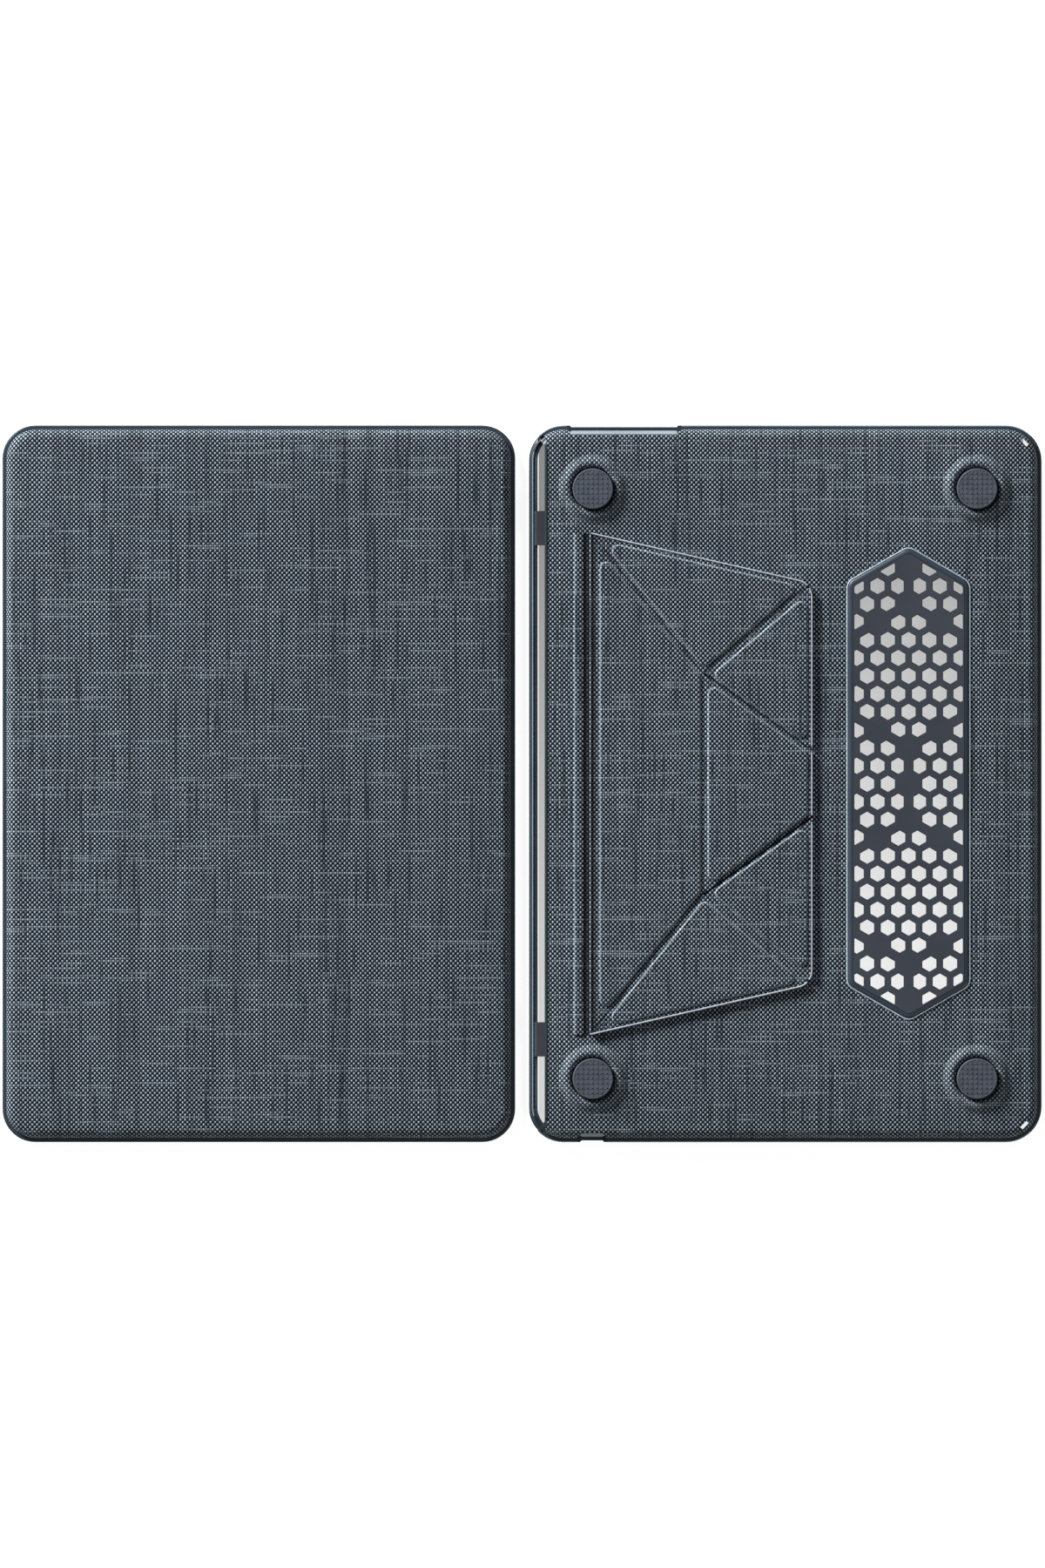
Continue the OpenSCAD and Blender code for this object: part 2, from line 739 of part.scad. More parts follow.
module cover(pts, flat, raise) {
    color(cloth) in_stand() translate([0, 0, lining_t]) difference() {
        union() {
            linear_extrude(cover_t) skin_plan(pts, flat);
            linear_extrude(board_t + cover_t) raised_plan(pts, raise, 0);
        }
        translate([0, 0, -eps]) linear_extrude(board_t + eps) raised_plan(pts, raise, cover_t);
    }
}

module magnet_places(x) {
    for (s = [-1, 1]) translate([x, s * magnet_y, 0]) children();
}

module lining_main() { lining(main_pts, main_skin); }
module lining_brace() { lining(brace_pts, brace_skin); }
module lining_wing_left() { lining(wing_pts, wing_skin); }
module lining_wing_right() { mirror([0, 1, 0]) lining(wing_pts, wing_skin); }
module lining_gusset_left() { lining(gusset_pts, gusset_skin); }
module lining_gusset_right() { mirror([0, 1, 0]) lining(gusset_pts, gusset_skin); }

module board_main() { board(main_pts, main_raise); }
module board_brace() {
    difference() {
        board(brace_pts, brace_raise);
        in_stand() magnet_places(magnet_x) cylinder(r = magnet_r, h = lining_t + magnet_t);
    }
}
module board_wing_left() { board(wing_pts, wing_raise); }
module board_wing_right() { mirror([0, 1, 0]) board(wing_pts, wing_raise); }
module board_gusset_left() { board(gusset_pts, gusset_raise); }
module board_gusset_right() { mirror([0, 1, 0]) board(gusset_pts, gusset_raise); }

module cover_main() { cover(main_pts, main_skin, main_raise); }
module cover_brace() { cover(brace_pts, brace_skin, brace_raise); }
module cover_wing_left() { cover(wing_pts, wing_skin, wing_raise); }
module cover_wing_right() { mirror([0, 1, 0]) cover(wing_pts, wing_skin, wing_raise); }
module cover_gusset_left() { cover(gusset_pts, gusset_skin, gusset_raise); }
module cover_gusset_right() { mirror([0, 1, 0]) cover(gusset_pts, gusset_skin, gusset_raise); }

module stand_magnets() {
    color(steel) in_stand() magnet_places(magnet_x) translate([0, 0, lining_t])
        cylinder(r = magnet_r, h = magnet_t);
}

module keeper_discs() {
    color(steel) for (s = [-1, 1]) translate([keeper_x, s * magnet_y, base_plate_z1 - keeper_t])
        cylinder(r = magnet_r, h = keeper_t);
}

// Strip of fabric bonded to the base, raised beside the hinge groove
strip_end = 1;
module stand_hinge_strip() {
    half = stand_half_y - strip_end;
    color(cloth) translate([hinge_x - skin_gap - strip_w, half, base_h]) rotate([90, 0, 0])
        linear_extrude(2 * half) polygon([
            [0, 0], [strip_w, 0], [strip_w, stand_gap], [strip_raised_w + stand_gap, stand_gap],
            [strip_raised_w - stand_gap, strip_raised_h], [strip_raised_h, strip_raised_h]]);
}

lid_shell();
lid_fabric();
base_shell();
base_fabric();
vent_frame();
vent_grille();
foot_rear_left();
foot_rear_right();
foot_front_left();
foot_front_right();
foot_adhesive_discs();
keeper_discs();
stand_hinge_strip();
board_main();
board_brace();
board_wing_left();
board_wing_right();
board_gusset_left();
board_gusset_right();
cover_main();
cover_brace();
cover_wing_left();
cover_wing_right();
cover_gusset_left();
cover_gusset_right();
lining_main();
lining_brace();
lining_wing_left();
lining_wing_right();
lining_gusset_left();
lining_gusset_right();
stand_magnets();
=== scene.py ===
"""Finish for a two-piece laptop case in woven cloth with a folding stand, feet and an air vent."""

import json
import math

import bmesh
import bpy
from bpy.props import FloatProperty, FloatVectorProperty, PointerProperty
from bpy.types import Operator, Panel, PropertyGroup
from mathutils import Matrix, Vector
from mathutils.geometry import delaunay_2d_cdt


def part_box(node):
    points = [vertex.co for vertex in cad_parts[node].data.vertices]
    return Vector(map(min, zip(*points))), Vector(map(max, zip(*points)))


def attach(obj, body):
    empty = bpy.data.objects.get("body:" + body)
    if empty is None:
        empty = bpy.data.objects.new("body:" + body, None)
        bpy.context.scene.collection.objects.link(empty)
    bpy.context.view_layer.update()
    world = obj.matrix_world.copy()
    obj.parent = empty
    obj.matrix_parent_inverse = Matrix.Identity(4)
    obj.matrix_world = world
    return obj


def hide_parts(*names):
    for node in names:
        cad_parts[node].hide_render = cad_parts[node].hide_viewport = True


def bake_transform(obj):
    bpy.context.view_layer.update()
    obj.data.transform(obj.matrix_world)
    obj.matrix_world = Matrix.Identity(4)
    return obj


bl_info = {
    "name": "Fabric Laptop Case Finish",
    "version": (1, 0, 0),
    "blender": (4, 5, 0),
    "location": "View3D > Sidebar > Laptop Case",
    "description": "Dresses a laptop case in laminated cloth, moulded plastic and rubber",
    "category": "Object",
}

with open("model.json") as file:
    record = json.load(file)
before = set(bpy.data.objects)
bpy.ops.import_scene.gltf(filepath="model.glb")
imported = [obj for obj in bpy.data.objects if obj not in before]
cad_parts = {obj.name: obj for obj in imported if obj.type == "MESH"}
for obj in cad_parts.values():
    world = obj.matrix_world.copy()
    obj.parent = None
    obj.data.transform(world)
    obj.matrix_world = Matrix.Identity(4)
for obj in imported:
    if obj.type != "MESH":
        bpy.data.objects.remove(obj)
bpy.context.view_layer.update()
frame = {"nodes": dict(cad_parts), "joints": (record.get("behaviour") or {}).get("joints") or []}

MM = 0.001
WEAVE = "weave"
SIDES = {"left": 1, "right": -1}
MERGE = 1e-6  # points closer than this many metres are one


# ---------------------------------------------------------------- settings


def length(name, about, millimetres):
    """A size, given in millimetres and shown in the scene's own length unit."""
    return FloatProperty(name=name, description=about, default=millimetres * MM,
                         unit="LENGTH", precision=5)


def share(name, about, default):
    """A plain number from 0 to 1."""
    return FloatProperty(name=name, description=about, default=default, min=0, max=1, subtype="FACTOR")


def strength(name, about, default):
    """A power or brightness."""
    return FloatProperty(name=name, description=about, default=default, min=0)


def tint(name, about, red, green, blue):
    """A colour, given as a screen colour in 0 to 255."""
    return FloatVectorProperty(name=name, description=about, default=srgb(red, green, blue),
                               min=0, max=1, subtype="COLOR")


def srgb(*screen):
    """Linear colour of a screen colour given in 0 to 255."""
    shares = (c / 255 for c in screen)
    return tuple(c / 12.92 if c <= 0.04045 else ((c + 0.055) / 1.055) ** 2.4 for c in shares)


def shaded(colour, factor):
    """The same colour, lighter or darker."""
    return tuple(min(c * factor, 1) for c in colour)


class ClothSettings(PropertyGroup):
    """Woven two-tone cloth"""
    warp_pitch: length("Warp pitch", "Distance between warp threads", 0.995)
    weft_pitch: length("Weft pitch", "Distance between weft threads", 1.05)
    relief: length("Thread relief", "How far the threads stand out", 0.3)
    thickness: length("Cloth thickness", "Thickness of the laminated cloth", 0.9)
    warp: tint("Warp colour", "Colour of the light warp threads", 200, 217, 231)
    weft: tint("Weft colour", "Colour of the dark weft threads", 9, 23, 39)
    slub: tint("Slub colour", "Colour of the thick light stretches", 222, 238, 250)
    cut_edge: tint("Cut edge colour", "Colour of the sealed cut edge", 196, 203, 212)
    slub_share: share("Slub share", "How strongly single threads differ", 0.8)


class ShellSettings(PropertyGroup):
    """Moulded plastic shells"""
    plastic: tint("Shell colour", "Colour of the moulded shells", 56, 70, 79)
    # painted shade: the sides are given a darker colour than the top
    side: tint("Side colour", "Colour of the shells' textured sides", 30, 40, 47)
    # painted highlight: the light colour of the bevels above the windows and of the rail's ridge
    lip: tint("Lip colour", "Colour of the polished bevel above the windows", 152, 165, 176)
    clip: tint("Clip colour", "Colour of the rear clips", 66, 65, 71)
    roughness: share("Roughness", "Roughness of the moulded surface", 0.4)
    lid_corner: length("Lid corner", "Corner radius of the lid half", 14.2)
    base_corner: length("Base corner", "Corner radius of the base half", 15.4)
    lid_depth: length("Lid depth", "Depth of the lid half from front to hinge side", 220.7)
    base_depth: length("Base depth", "Depth of the base half from front to hinge side", 221.1)
    plate_depth: length("Plate depth", "Depth of the base half up to the plate's rear edge", 213.8)
    slot_width: length("Slot width", "Width of the slot between the rail and the plate", 3)
    rail_height: length("Rail height", "Height of the rail's flat top", 4.2)
    clip_middle: length("Clip middle", "Distance of the rear clips from the middle", 109.9)
    clip_half: length("Clip half", "Half length of the rear clips", 7.4)
    ridge_end: length("Ridge end", "Distance of the rail's ridge from the sides", 12)
    lip_reach: length("Lip reach", "How far in from the sides the polished bevels lie", 5)


class OpeningSettings(PropertyGroup):
    """Openings in the base cloth"""
    hem_width: length("Hem width", "Width of the bare hem along the rear edge", 1.5)
    hem_end: length("Hem end", "Distance of the hem's ends from the sides", 10.4)
    kink_x: length("Kink", "How far the cloth's rear edge steps back at the corner", 1.3)
    kink_side: length("Kink side", "Distance of that step from the side", 4.9)
    end_x: length("Rear end", "How far the cloth's rear edge has run back at the side", 4.2)
    port_middle: length("Port middle", "Middle of the plug window, from the rear edge", 34.15)
    port_width: length("Port width", "Width of the plug window", 45.3)
    audio_middle: length("Audio middle", "Middle of the audio window, from the rear edge", 20.4)
    audio_width: length("Audio width", "Width of the audio window", 9)
    window_depth: length("Window depth", "How far the windows reach in from the side", 3.9)
    slit_inset: length("Slit inset", "Distance of the front slits from both edges", 7.4)
    slit_length: length("Slit length", "Length of the front slits", 3.7)
    slit_width: length("Slit width", "Width of the front slits", 1.5)
    nick_back: length("Nick back", "Distance of the rear nicks behind the rear edge", 1.1)
    nick_side: length("Nick side", "Distance of the rear nicks from the side", 5.1)
    nick_length: length("Nick length", "Length of the rear nicks", 1.6)
    nick_width: length("Nick width", "Width of the rear nicks", 0.8)


class StandSettings(PropertyGroup):
    """Folding stand"""
    half_length: length("Half length", "Half length of the hinge line", 108)
    fold_half: length("Fold half length", "Half length of the fold to the brace", 47)
    depth: length("Depth", "Distance from the hinge line to the free edge", 95.5)
    free_half: length("Free edge half", "Half length of the free edge", 86.3)
    brace_half: length("Brace half", "Half length of the brace's free edge", 13.7)
    corner: length("Free corner", "Radius of the free corners", 7.6)
    cover: length("Cover thickness", "Thickness of the cloth cover", 1.15)
    gap: length("Cover gap", "Distance of a cover's edge from a fold", 0.15)
    wing_gap: length("Wing fold gap", "Distance of the covers from the fold of wing and gusset", 0.7)
    open_gap: length("Open fold gap", "Distance of a gusset's cover from the open fold", 0.85)
    hinge_gap: length("Hinge gap", "Distance of the main cover's edge from the hinge line", 1.7)
    groove: length("Groove half", "Half width of the groove along a fold", 1.7)
    wide_groove: length("Wide groove half", "Half width of the groove between wing and gusset", 2.2)
    hinge_groove: length("Hinge groove", "Distance from the hinge line to the raised panel", 4.1)
    margin: length("Margin", "Flat margin along the free edges", 2.5)
    panel_corner: length("Panel corner", "Corner radius of the raised panels", 2.6)
    slope_out: length("Slope outside", "How far a raised panel's slope spreads outwards", 0.35)
    slope_in: length("Slope inside", "How far a raised panel's slope spreads inwards", 0.5)
    dip: length("Fold dip", "Depth of the dip along a fold", 0.25)
    dip_half: length("Fold dip half", "Half width of the dip along a fold", 0.9)
    seal_width: length("Seal width", "Width of the sealed edge", 0.7)
    brace_end: length("Brace fold end", "How far the brace's fold cloth stops short", 1.8)
    wing_end: length("Wing fold end", "How far a wing's fold cloth stops short of the hinge", 3.4)
    inner_end: length("Inner fold end", "How far fold cloth stops short of the inner fold points", 0.9)
    gusset_end: length("Gusset fold end", "How far a gusset's fold cloth stops short outside", 3.2)


class FootSettings(PropertyGroup):
    """Rubber feet"""
    well_gap: length("Well gap", "Free ring round each foot", 0.5)
    mound_radius: length("Mound radius", "Radius of the cloth mound round a foot", 15.4)
    mound_height: length("Mound height", "Height of the cloth mound", 1.7)
    mound_curl: length("Mound curl", "Radius with which the cloth turns down into the well", 2)
    edge: length("Edge radius", "Radius of the foot's upper edge", 0.4)
    rim: length("Rim width", "Width of the plain rim on the foot's face", 0.3)
    rib_pitch: length("Rib pitch", "Distance between the grip ribs", 2.1)
    rib_width: length("Rib width", "Width of a grip rib", 0.5)
    rib_height: length("Rib height", "Height of a grip rib", 0.1)
    rubber: tint("Rubber colour", "Colour of the feet", 91, 98, 110)


class VentSettings(PropertyGroup):
    """Air vent"""
    width: length("Width", "Width of the vent frame", 53.4)
    tip: length("Tip distance", "Distance from the middle to each pointed end", 102.3)
    slope: FloatProperty(name="Slope", description="Slope of the pointed ends",
                         default=math.radians(30), unit="ROTATION")
    corner: length("Corner radius", "Corner radius of the frame", 5)
    bezel: length("Bezel width", "Width of the frame's bezel", 1)
    skirt: length("Skirt thickness", "Thickness of the frame's wall through the shell", 1.5)
    bead_width: length("Bead width", "Width of the bead round the frame", 0.6)
    bead_height: length("Bead height", "Height of that bead above the cloth", 0.45)
    crown: length("Crown", "How far the grille stands above the frame's solid", 0.35)
    hole: length("Hole width", "Width of a hexagonal hole across its flats", 6)
    pitch: length("Hole pitch", "Distance between hole centres", 8.925)
    border: length("Border", "Solid border round the holes", 0.9)
    end_share: share("End share", "Part of a row kept free at both ends", 0.4)
    rib: length("Rib width", "Width of the solid ribs", 4.3)
    rib_run: length("Rib length", "Length of the slanting ribs", 32.13)
    edge: length("Hole bevel", "Bevel round the holes", 0.28)
    plate: tint("Grille colour", "Colour of the grille", 66, 73, 84)
    # painted highlight: the bead's light colour
    bead: tint("Bead colour", "Colour of the bead round the vent frame", 203, 218, 228)
    rise: tint("Frame colour", "Colour of the rounded rise from the bead to the grille", 62, 74, 88)
    # painted shade: the dark colour round the holes
    bevel: tint("Bevel colour", "Colour of the bevels round the holes", 34, 38, 45)


class StageSettings(PropertyGroup):
    """Camera, floor and lights"""
    view_width: length("View width", "Width of the camera's view on the case", 449.6)
    face_height: length("Face height", "Height at which that width holds", 6)
    camera_height: length("Camera height", "Height of the camera above the floor", 9000)
    camera_x: length("Camera X", "Place of the camera along X", 0.26)
    camera_y: length("Camera Y", "Place of the camera along Y", -0.11)
    key_watts: strength("Key lamp", "Power of the key lamp", 440)
    counter: share("Counter lamp", "Power of the counter lamp as a part of the key lamp's", 0.1)
    fill: strength("Fill", "Strength of the even fill light", 0.11)
    # painted shade: the floor's glow under the base half is dimmed, more towards the back and in the
    # hinge slot's zone
    under_near: share("Glow near", "Brightness of the floor under the case's front", 0.86)
    under_far: share("Glow far", "Brightness of the floor under the case's back", 0.33)
    slot_share: share("Slot glow", "Part of that brightness that is seen through the hinge slot", 0.72)
    around: share("Glow around", "Brightness of the floor round the case", 0.85)
    glow_start: length("Glow start", "Where the floor's glow starts to fade", -110)
    glow_end: length("Glow end", "Where the floor's glow has faded", 130)
    border: length("Glow border", "Width of the case's front strip over the evenly bright floor", 6)


GROUPS = {
    "case_cloth": ClothSettings,
    "case_shell": ShellSettings,
    "case_opening": OpeningSettings,
    "case_stand": StandSettings,
    "case_foot": FootSettings,
    "case_vent": VentSettings,
    "case_stage": StageSettings,
}


# ---------------------------------------------------------------- plan geometry


def heading(angle):
    """The direction at an angle from +X."""
    return Vector((math.cos(angle), math.sin(angle)))


def left_of(along):
    """The direction to the left of another."""
    return Vector((-along.y, along.x))


def rounded_box(low, high, radius, steps=10):
    """Counter-clockwise outline of a rectangle with round corners."""
    centres = [(high.x - radius, high.y - radius), (low.x + radius, high.y - radius),
               (low.x + radius, low.y + radius), (high.x - radius, low.y + radius)]
    points = []
    for quarter, (x, y) in enumerate(centres):
        for step in range(steps + 1):
            angle = math.radians(90 * (quarter + step / steps))
            points.append(Vector((x + radius * math.cos(angle), y + radius * math.sin(angle))))
    return points


def edge_depth(point, low, high, radius):
    """Distance from a point to the edge of a rounded rectangle, and the direction out to that edge."""
    dx = max(low.x + radius - point.x, point.x - high.x + radius)
    dy = max(low.y + radius - point.y, point.y - high.y + radius)
    side_x = 1 if point.x > (low.x + high.x) / 2 else -1
    side_y = 1 if point.y > (low.y + high.y) / 2 else -1
    if dx > 0 and dy > 0:
        reach = math.hypot(dx, dy)
        return radius - reach, Vector((side_x * dx, side_y * dy)) / reach
    if dx > dy:
        return radius - dx, Vector((side_x, 0))
    return radius - dy, Vector((0, side_y))


def ring(centre, radius, count=72):
    """Points of a circle."""
    return [centre + radius * heading(2 * math.pi * k / count) for k in range(count)]


def inset(points, distances):
    """Moves the edges of a counter-clockwise convex outline inwards, edge i by distances[i]."""
    moved = []
    for i, point in enumerate(points):
        before = (point - points[i - 1]).normalized()
        after = (points[(i + 1) % len(points)] - point).normalized()
        n0, n1 = left_of(before), left_of(after)
        d0, d1 = distances[i - 1], distances[i]
        det = n0.x * n1.y - n0.y * n1.x
        moved.append(point + Vector((d0 * n1.y - d1 * n0.y, n0.x * d1 - n1.x * d0)) / det)
    return moved


def round_corners(points, radii, steps=8):
    """Rounds the corners of a counter-clockwise convex outline, one radius for each."""
    rounded = []
    for i, point in enumerate(points):
        back = (points[i - 1] - point).normalized()
        ahead = (points[(i + 1) % len(points)] - point).normalized()
        radius = radii[i]
        if radius <= 0:
            rounded.append(point.copy())
            continue
        half = back.angle(ahead) / 2
        centre = point + (back + ahead).normalized() * radius / math.sin(half)
        start = point + back * radius / math.tan(half) - centre
        turn = math.pi - 2 * half
        for step in range(steps + 1):
            angle = turn * step / steps
            c, s = math.cos(angle), math.sin(angle)
            rounded.append(centre + Vector((start.x * c - start.y * s, start.x * s + start.y * c)))
    return rounded


def clip(points, a, b):
    """The part of a convex outline that lies left of the line from a to b."""
    def side(p):
        return (b.x - a.x) * (p.y - a.y) - (b.y - a.y) * (p.x - a.x)
    kept = []
    for i, point in enumerate(points):
        last = points[i - 1]
        s0, s1 = side(last), side(point)
        if (s0 < 0) != (s1 < 0):
            kept.append(last.lerp(point, s0 / (s0 - s1)))
        if s1 >= 0:
            kept.append(point)
    return kept


def overlap(points, window):
    """The part of a convex outline inside another convex outline."""
    for i, point in enumerate(window):
        if points:
            points = clip(points, window[i - 1], point)
    apart = []
    for point in points:
        if not apart or (point - apart[-1]).length > MERGE:
            apart.append(point)
    if len(apart) > 1 and (apart[0] - apart[-1]).length <= MERGE:
        apart.pop()
    return apart


def inside(point, outline):
    """Whether a point lies inside a closed outline."""
    odd = False
    for i, b in enumerate(outline):
        a = outline[i - 1]
        if (a.y > point.y) != (b.y > point.y):
            if point.x < a.x + (point.y - a.y) / (b.y - a.y) * (b.x - a.x):
                odd = not odd
    return odd


def line_distance(point, a, b):
    """Distance from a point to the line through a and b, positive on its left."""
    along = (b - a).normalized()
    return along.x * (point.y - a.y) - along.y * (point.x - a.x)


def smooth(value):
    """Smooth step from 0 to 1."""
    t = min(max(value, 0), 1)
    return t * t * (3 - 2 * t)


def steps_between(a, b, count):
    """Evenly spaced values from a to b, ends included."""
    return [a + (b - a) * k / count for k in range(count + 1)]


# ---------------------------------------------------------------- meshes


def new_object(name, mesh, material=None):
    """Links a mesh as a piece, with a material unless it has its own."""
    if material:
        mesh.materials.clear()
        mesh.materials.append(material)
    obj = bpy.data.objects.new(name, mesh)
    bpy.context.scene.collection.objects.link(obj)
    return obj


def lay_weave(bm, places=None):
    """Gives every face corner its place in the cloth, in millimetres: from places or from its plan."""
    uv = bm.loops.layers.uv.new(WEAVE)
    for face in bm.faces:
        for loop in face.loops:
            loop[uv].uv = places[loop.vert] if places else loop.vert.co.xy / MM


def finish_mesh(bm, name, sharp=35):
    """Turns a bmesh into a mesh with smooth rounds and with crisp edges above that angle."""
    mesh = bpy.data.meshes.new(name)
    bm.to_mesh(mesh)
    bm.free()
    mesh.shade_smooth()
    mesh.set_sharp_from_angle(angle=math.radians(sharp))
    return mesh


def relief_mesh(name, loops, keep, top, bottom, spread=None, sharp=35):
    """A closed sheet over a plan: its outlines are triangulated, lifted to top and backed at bottom.
    spread says where a plan point lies in the cloth, which it follows round an edge."""
    points, edges = [], []
    for loop in loops:
        start = len(points)
        points += loop
        edges += [(start + i, start + (i + 1) % len(loop)) for i in range(len(loop))]
    plan, _, faces, _, _, _ = delaunay_2d_cdt(points, edges, [], 0, MERGE / 10)
    bm = bmesh.new()
    kept = [face for face in faces if keep(sum((plan[i] for i in face), Vector((0, 0))) / len(face))]
    used = sorted({i for face in kept for i in face})
    upper = {i: bm.verts.new((plan[i].x, plan[i].y, top(plan[i]))) for i in used}
    lower = {i: bm.verts.new((plan[i].x, plan[i].y, bottom(plan[i]))) for i in used}
    sides = {}
    for face in kept:
        bm.faces.new([upper[i] for i in face])
        bm.faces.new([lower[i] for i in reversed(face)])
        for i, a in enumerate(face):
            b = face[(i + 1) % len(face)]
            if (b, a) in sides:
                del sides[(b, a)]
            else:
                sides[(a, b)] = True
    for a, b in sides:
        bm.faces.new([upper[a], lower[a], lower[b], upper[b]])
    places = {vert: (spread(plan[i]) if spread else plan[i]) / MM
              for verts in (upper, lower) for i, vert in verts.items()}
    lay_weave(bm, places)
    bmesh.ops.remove_doubles(bm, verts=bm.verts, dist=MERGE)
    bmesh.ops.recalc_face_normals(bm, faces=bm.faces)
    return finish_mesh(bm, name, sharp)


def skin_mesh(bm, name, rows, closed, sharp):
    """Closes rows of vertices to a skin; without closed the first and the last row get a face."""
    for row, following in zip(rows, rows[1:] + rows[:1] if closed else rows[1:]):
        for k in range(len(row)):
            n = (k + 1) % len(row)
            bm.faces.new([row[k], following[k], following[n], row[n]])
    if not closed:
        bm.faces.new(rows[0])
        bm.faces.new(list(reversed(rows[-1])))
    lay_weave(bm)
    bmesh.ops.recalc_face_normals(bm, faces=bm.faces)
    return finish_mesh(bm, name, sharp)


def sweep_mesh(name, path, profile, closed, sharp=35):
    """Runs a closed profile of (outwards, height) points along a plan path."""
    bm = bmesh.new()
    count = len(path)
    rows = []
    for i, point in enumerate(path):
        before = path[i - 1] if closed or i > 0 else point
        after = path[(i + 1) % count] if closed or i < count - 1 else point
        d0, d1 = (point - before), (after - point)
        d0 = d0.normalized() if d0.length > 0 else d1.normalized()
        d1 = d1.normalized() if d1.length > 0 else d0
        n0, n1 = -left_of(d0), -left_of(d1)
        out = (n0 + n1) / (1 + n0.dot(n1))
        rows.append([bm.verts.new((point.x + out.x * o, point.y + out.y * o, z)) for o, z in profile])
    return skin_mesh(bm, name, rows, closed, sharp)


def ribbon_mesh(name, start, end, across, profile, count, sharp=60):
    """Runs a closed (across, height) profile straight from start to end in even steps."""
    bm = bmesh.new()
    rows = []
    for step in steps_between(0, 1, count):
        place = start.lerp(end, step)
        rows.append([bm.verts.new((*(place + across * offset), z)) for offset, z in profile])
    return skin_mesh(bm, name, rows, False, sharp)


def lathe_mesh(name, centre, profile, count=96):
    """Turns a profile of (radius, height) points, from the axis back to the axis, round a centre."""
    bm = bmesh.new()
    rows = []
    for radius, z in profile:
        if radius <= 0:
            rows.append([bm.verts.new((centre.x, centre.y, z))])
        else:
            rows.append([bm.verts.new((p.x, p.y, z)) for p in ring(centre, radius, count)])
    for lower, upper in zip(rows, rows[1:]):
        for k in range(count):
            n = (k + 1) % count
            around = [(lower, k), (lower, n), (upper, n), (upper, k)]
            bm.faces.new(list(dict.fromkeys(row[i % len(row)] for row, i in around)))
    lay_weave(bm)
    bmesh.ops.recalc_face_normals(bm, faces=bm.faces)
    return finish_mesh(bm, name)


def baked(holder):
    """The mesh that an object shows, with its modifiers or curve settings run. The object goes."""
    bpy.context.scene.collection.objects.link(holder)
    depsgraph = bpy.context.evaluated_depsgraph_get()
    mesh = bpy.data.meshes.new_from_object(holder.evaluated_get(depsgraph))
    bpy.data.objects.remove(holder)
    return mesh


def plate_mesh(name, outlines, z0, z1, bevel, sharp=20):
    """A flat plate with small bevels: the first outline is its edge, the others are its holes."""
    curve = bpy.data.curves.new(name, "CURVE")
    curve.dimensions = "2D"
    curve.fill_mode = "BOTH"
    for outline in outlines:
        spline = curve.splines.new("POLY")
        spline.points.add(len(outline) - 1)
        for point, place in zip(spline.points, outline):
            point.co = (place.x, place.y, 0, 1)
        spline.use_cyclic_u = True
    curve.extrude = (z1 - z0) / 2 - bevel
    curve.bevel_depth = bevel
    curve.offset = -bevel
    curve.bevel_resolution = 1
    mesh = baked(bpy.data.objects.new(name, curve))
    bpy.data.curves.remove(curve)
    bm = bmesh.new()
    bm.from_mesh(mesh)
    bpy.data.meshes.remove(mesh)
    bmesh.ops.translate(bm, verts=bm.verts, vec=(0, 0, (z0 + z1) / 2))
    bmesh.ops.remove_doubles(bm, verts=bm.verts, dist=MERGE)
    bmesh.ops.recalc_face_normals(bm, faces=bm.faces)
    return finish_mesh(bm, name, sharp)


def merged_copy(node, name, split_x, flat=0.5, sharp=30):
    """A copy of a CAD node's mesh with its loose triangles joined where they are flat to each other,
    its rounds shaded smooth and its faces split where they cross split_x."""
    bm = bmesh.new()
    bm.from_mesh(frame["nodes"][node].data)
    bmesh.ops.remove_doubles(bm, verts=bm.verts, dist=2 * MERGE)
    bmesh.ops.dissolve_limit(bm, angle_limit=math.radians(flat), verts=bm.verts, edges=bm.edges)
    everything = [*bm.verts, *bm.edges, *bm.faces]
    bmesh.ops.bisect_plane(bm, geom=everything, dist=MERGE,
                           plane_co=(split_x, 0, 0), plane_no=(1, 0, 0))
    return finish_mesh(bm, name, sharp)


# ---------------------------------------------------------------- materials


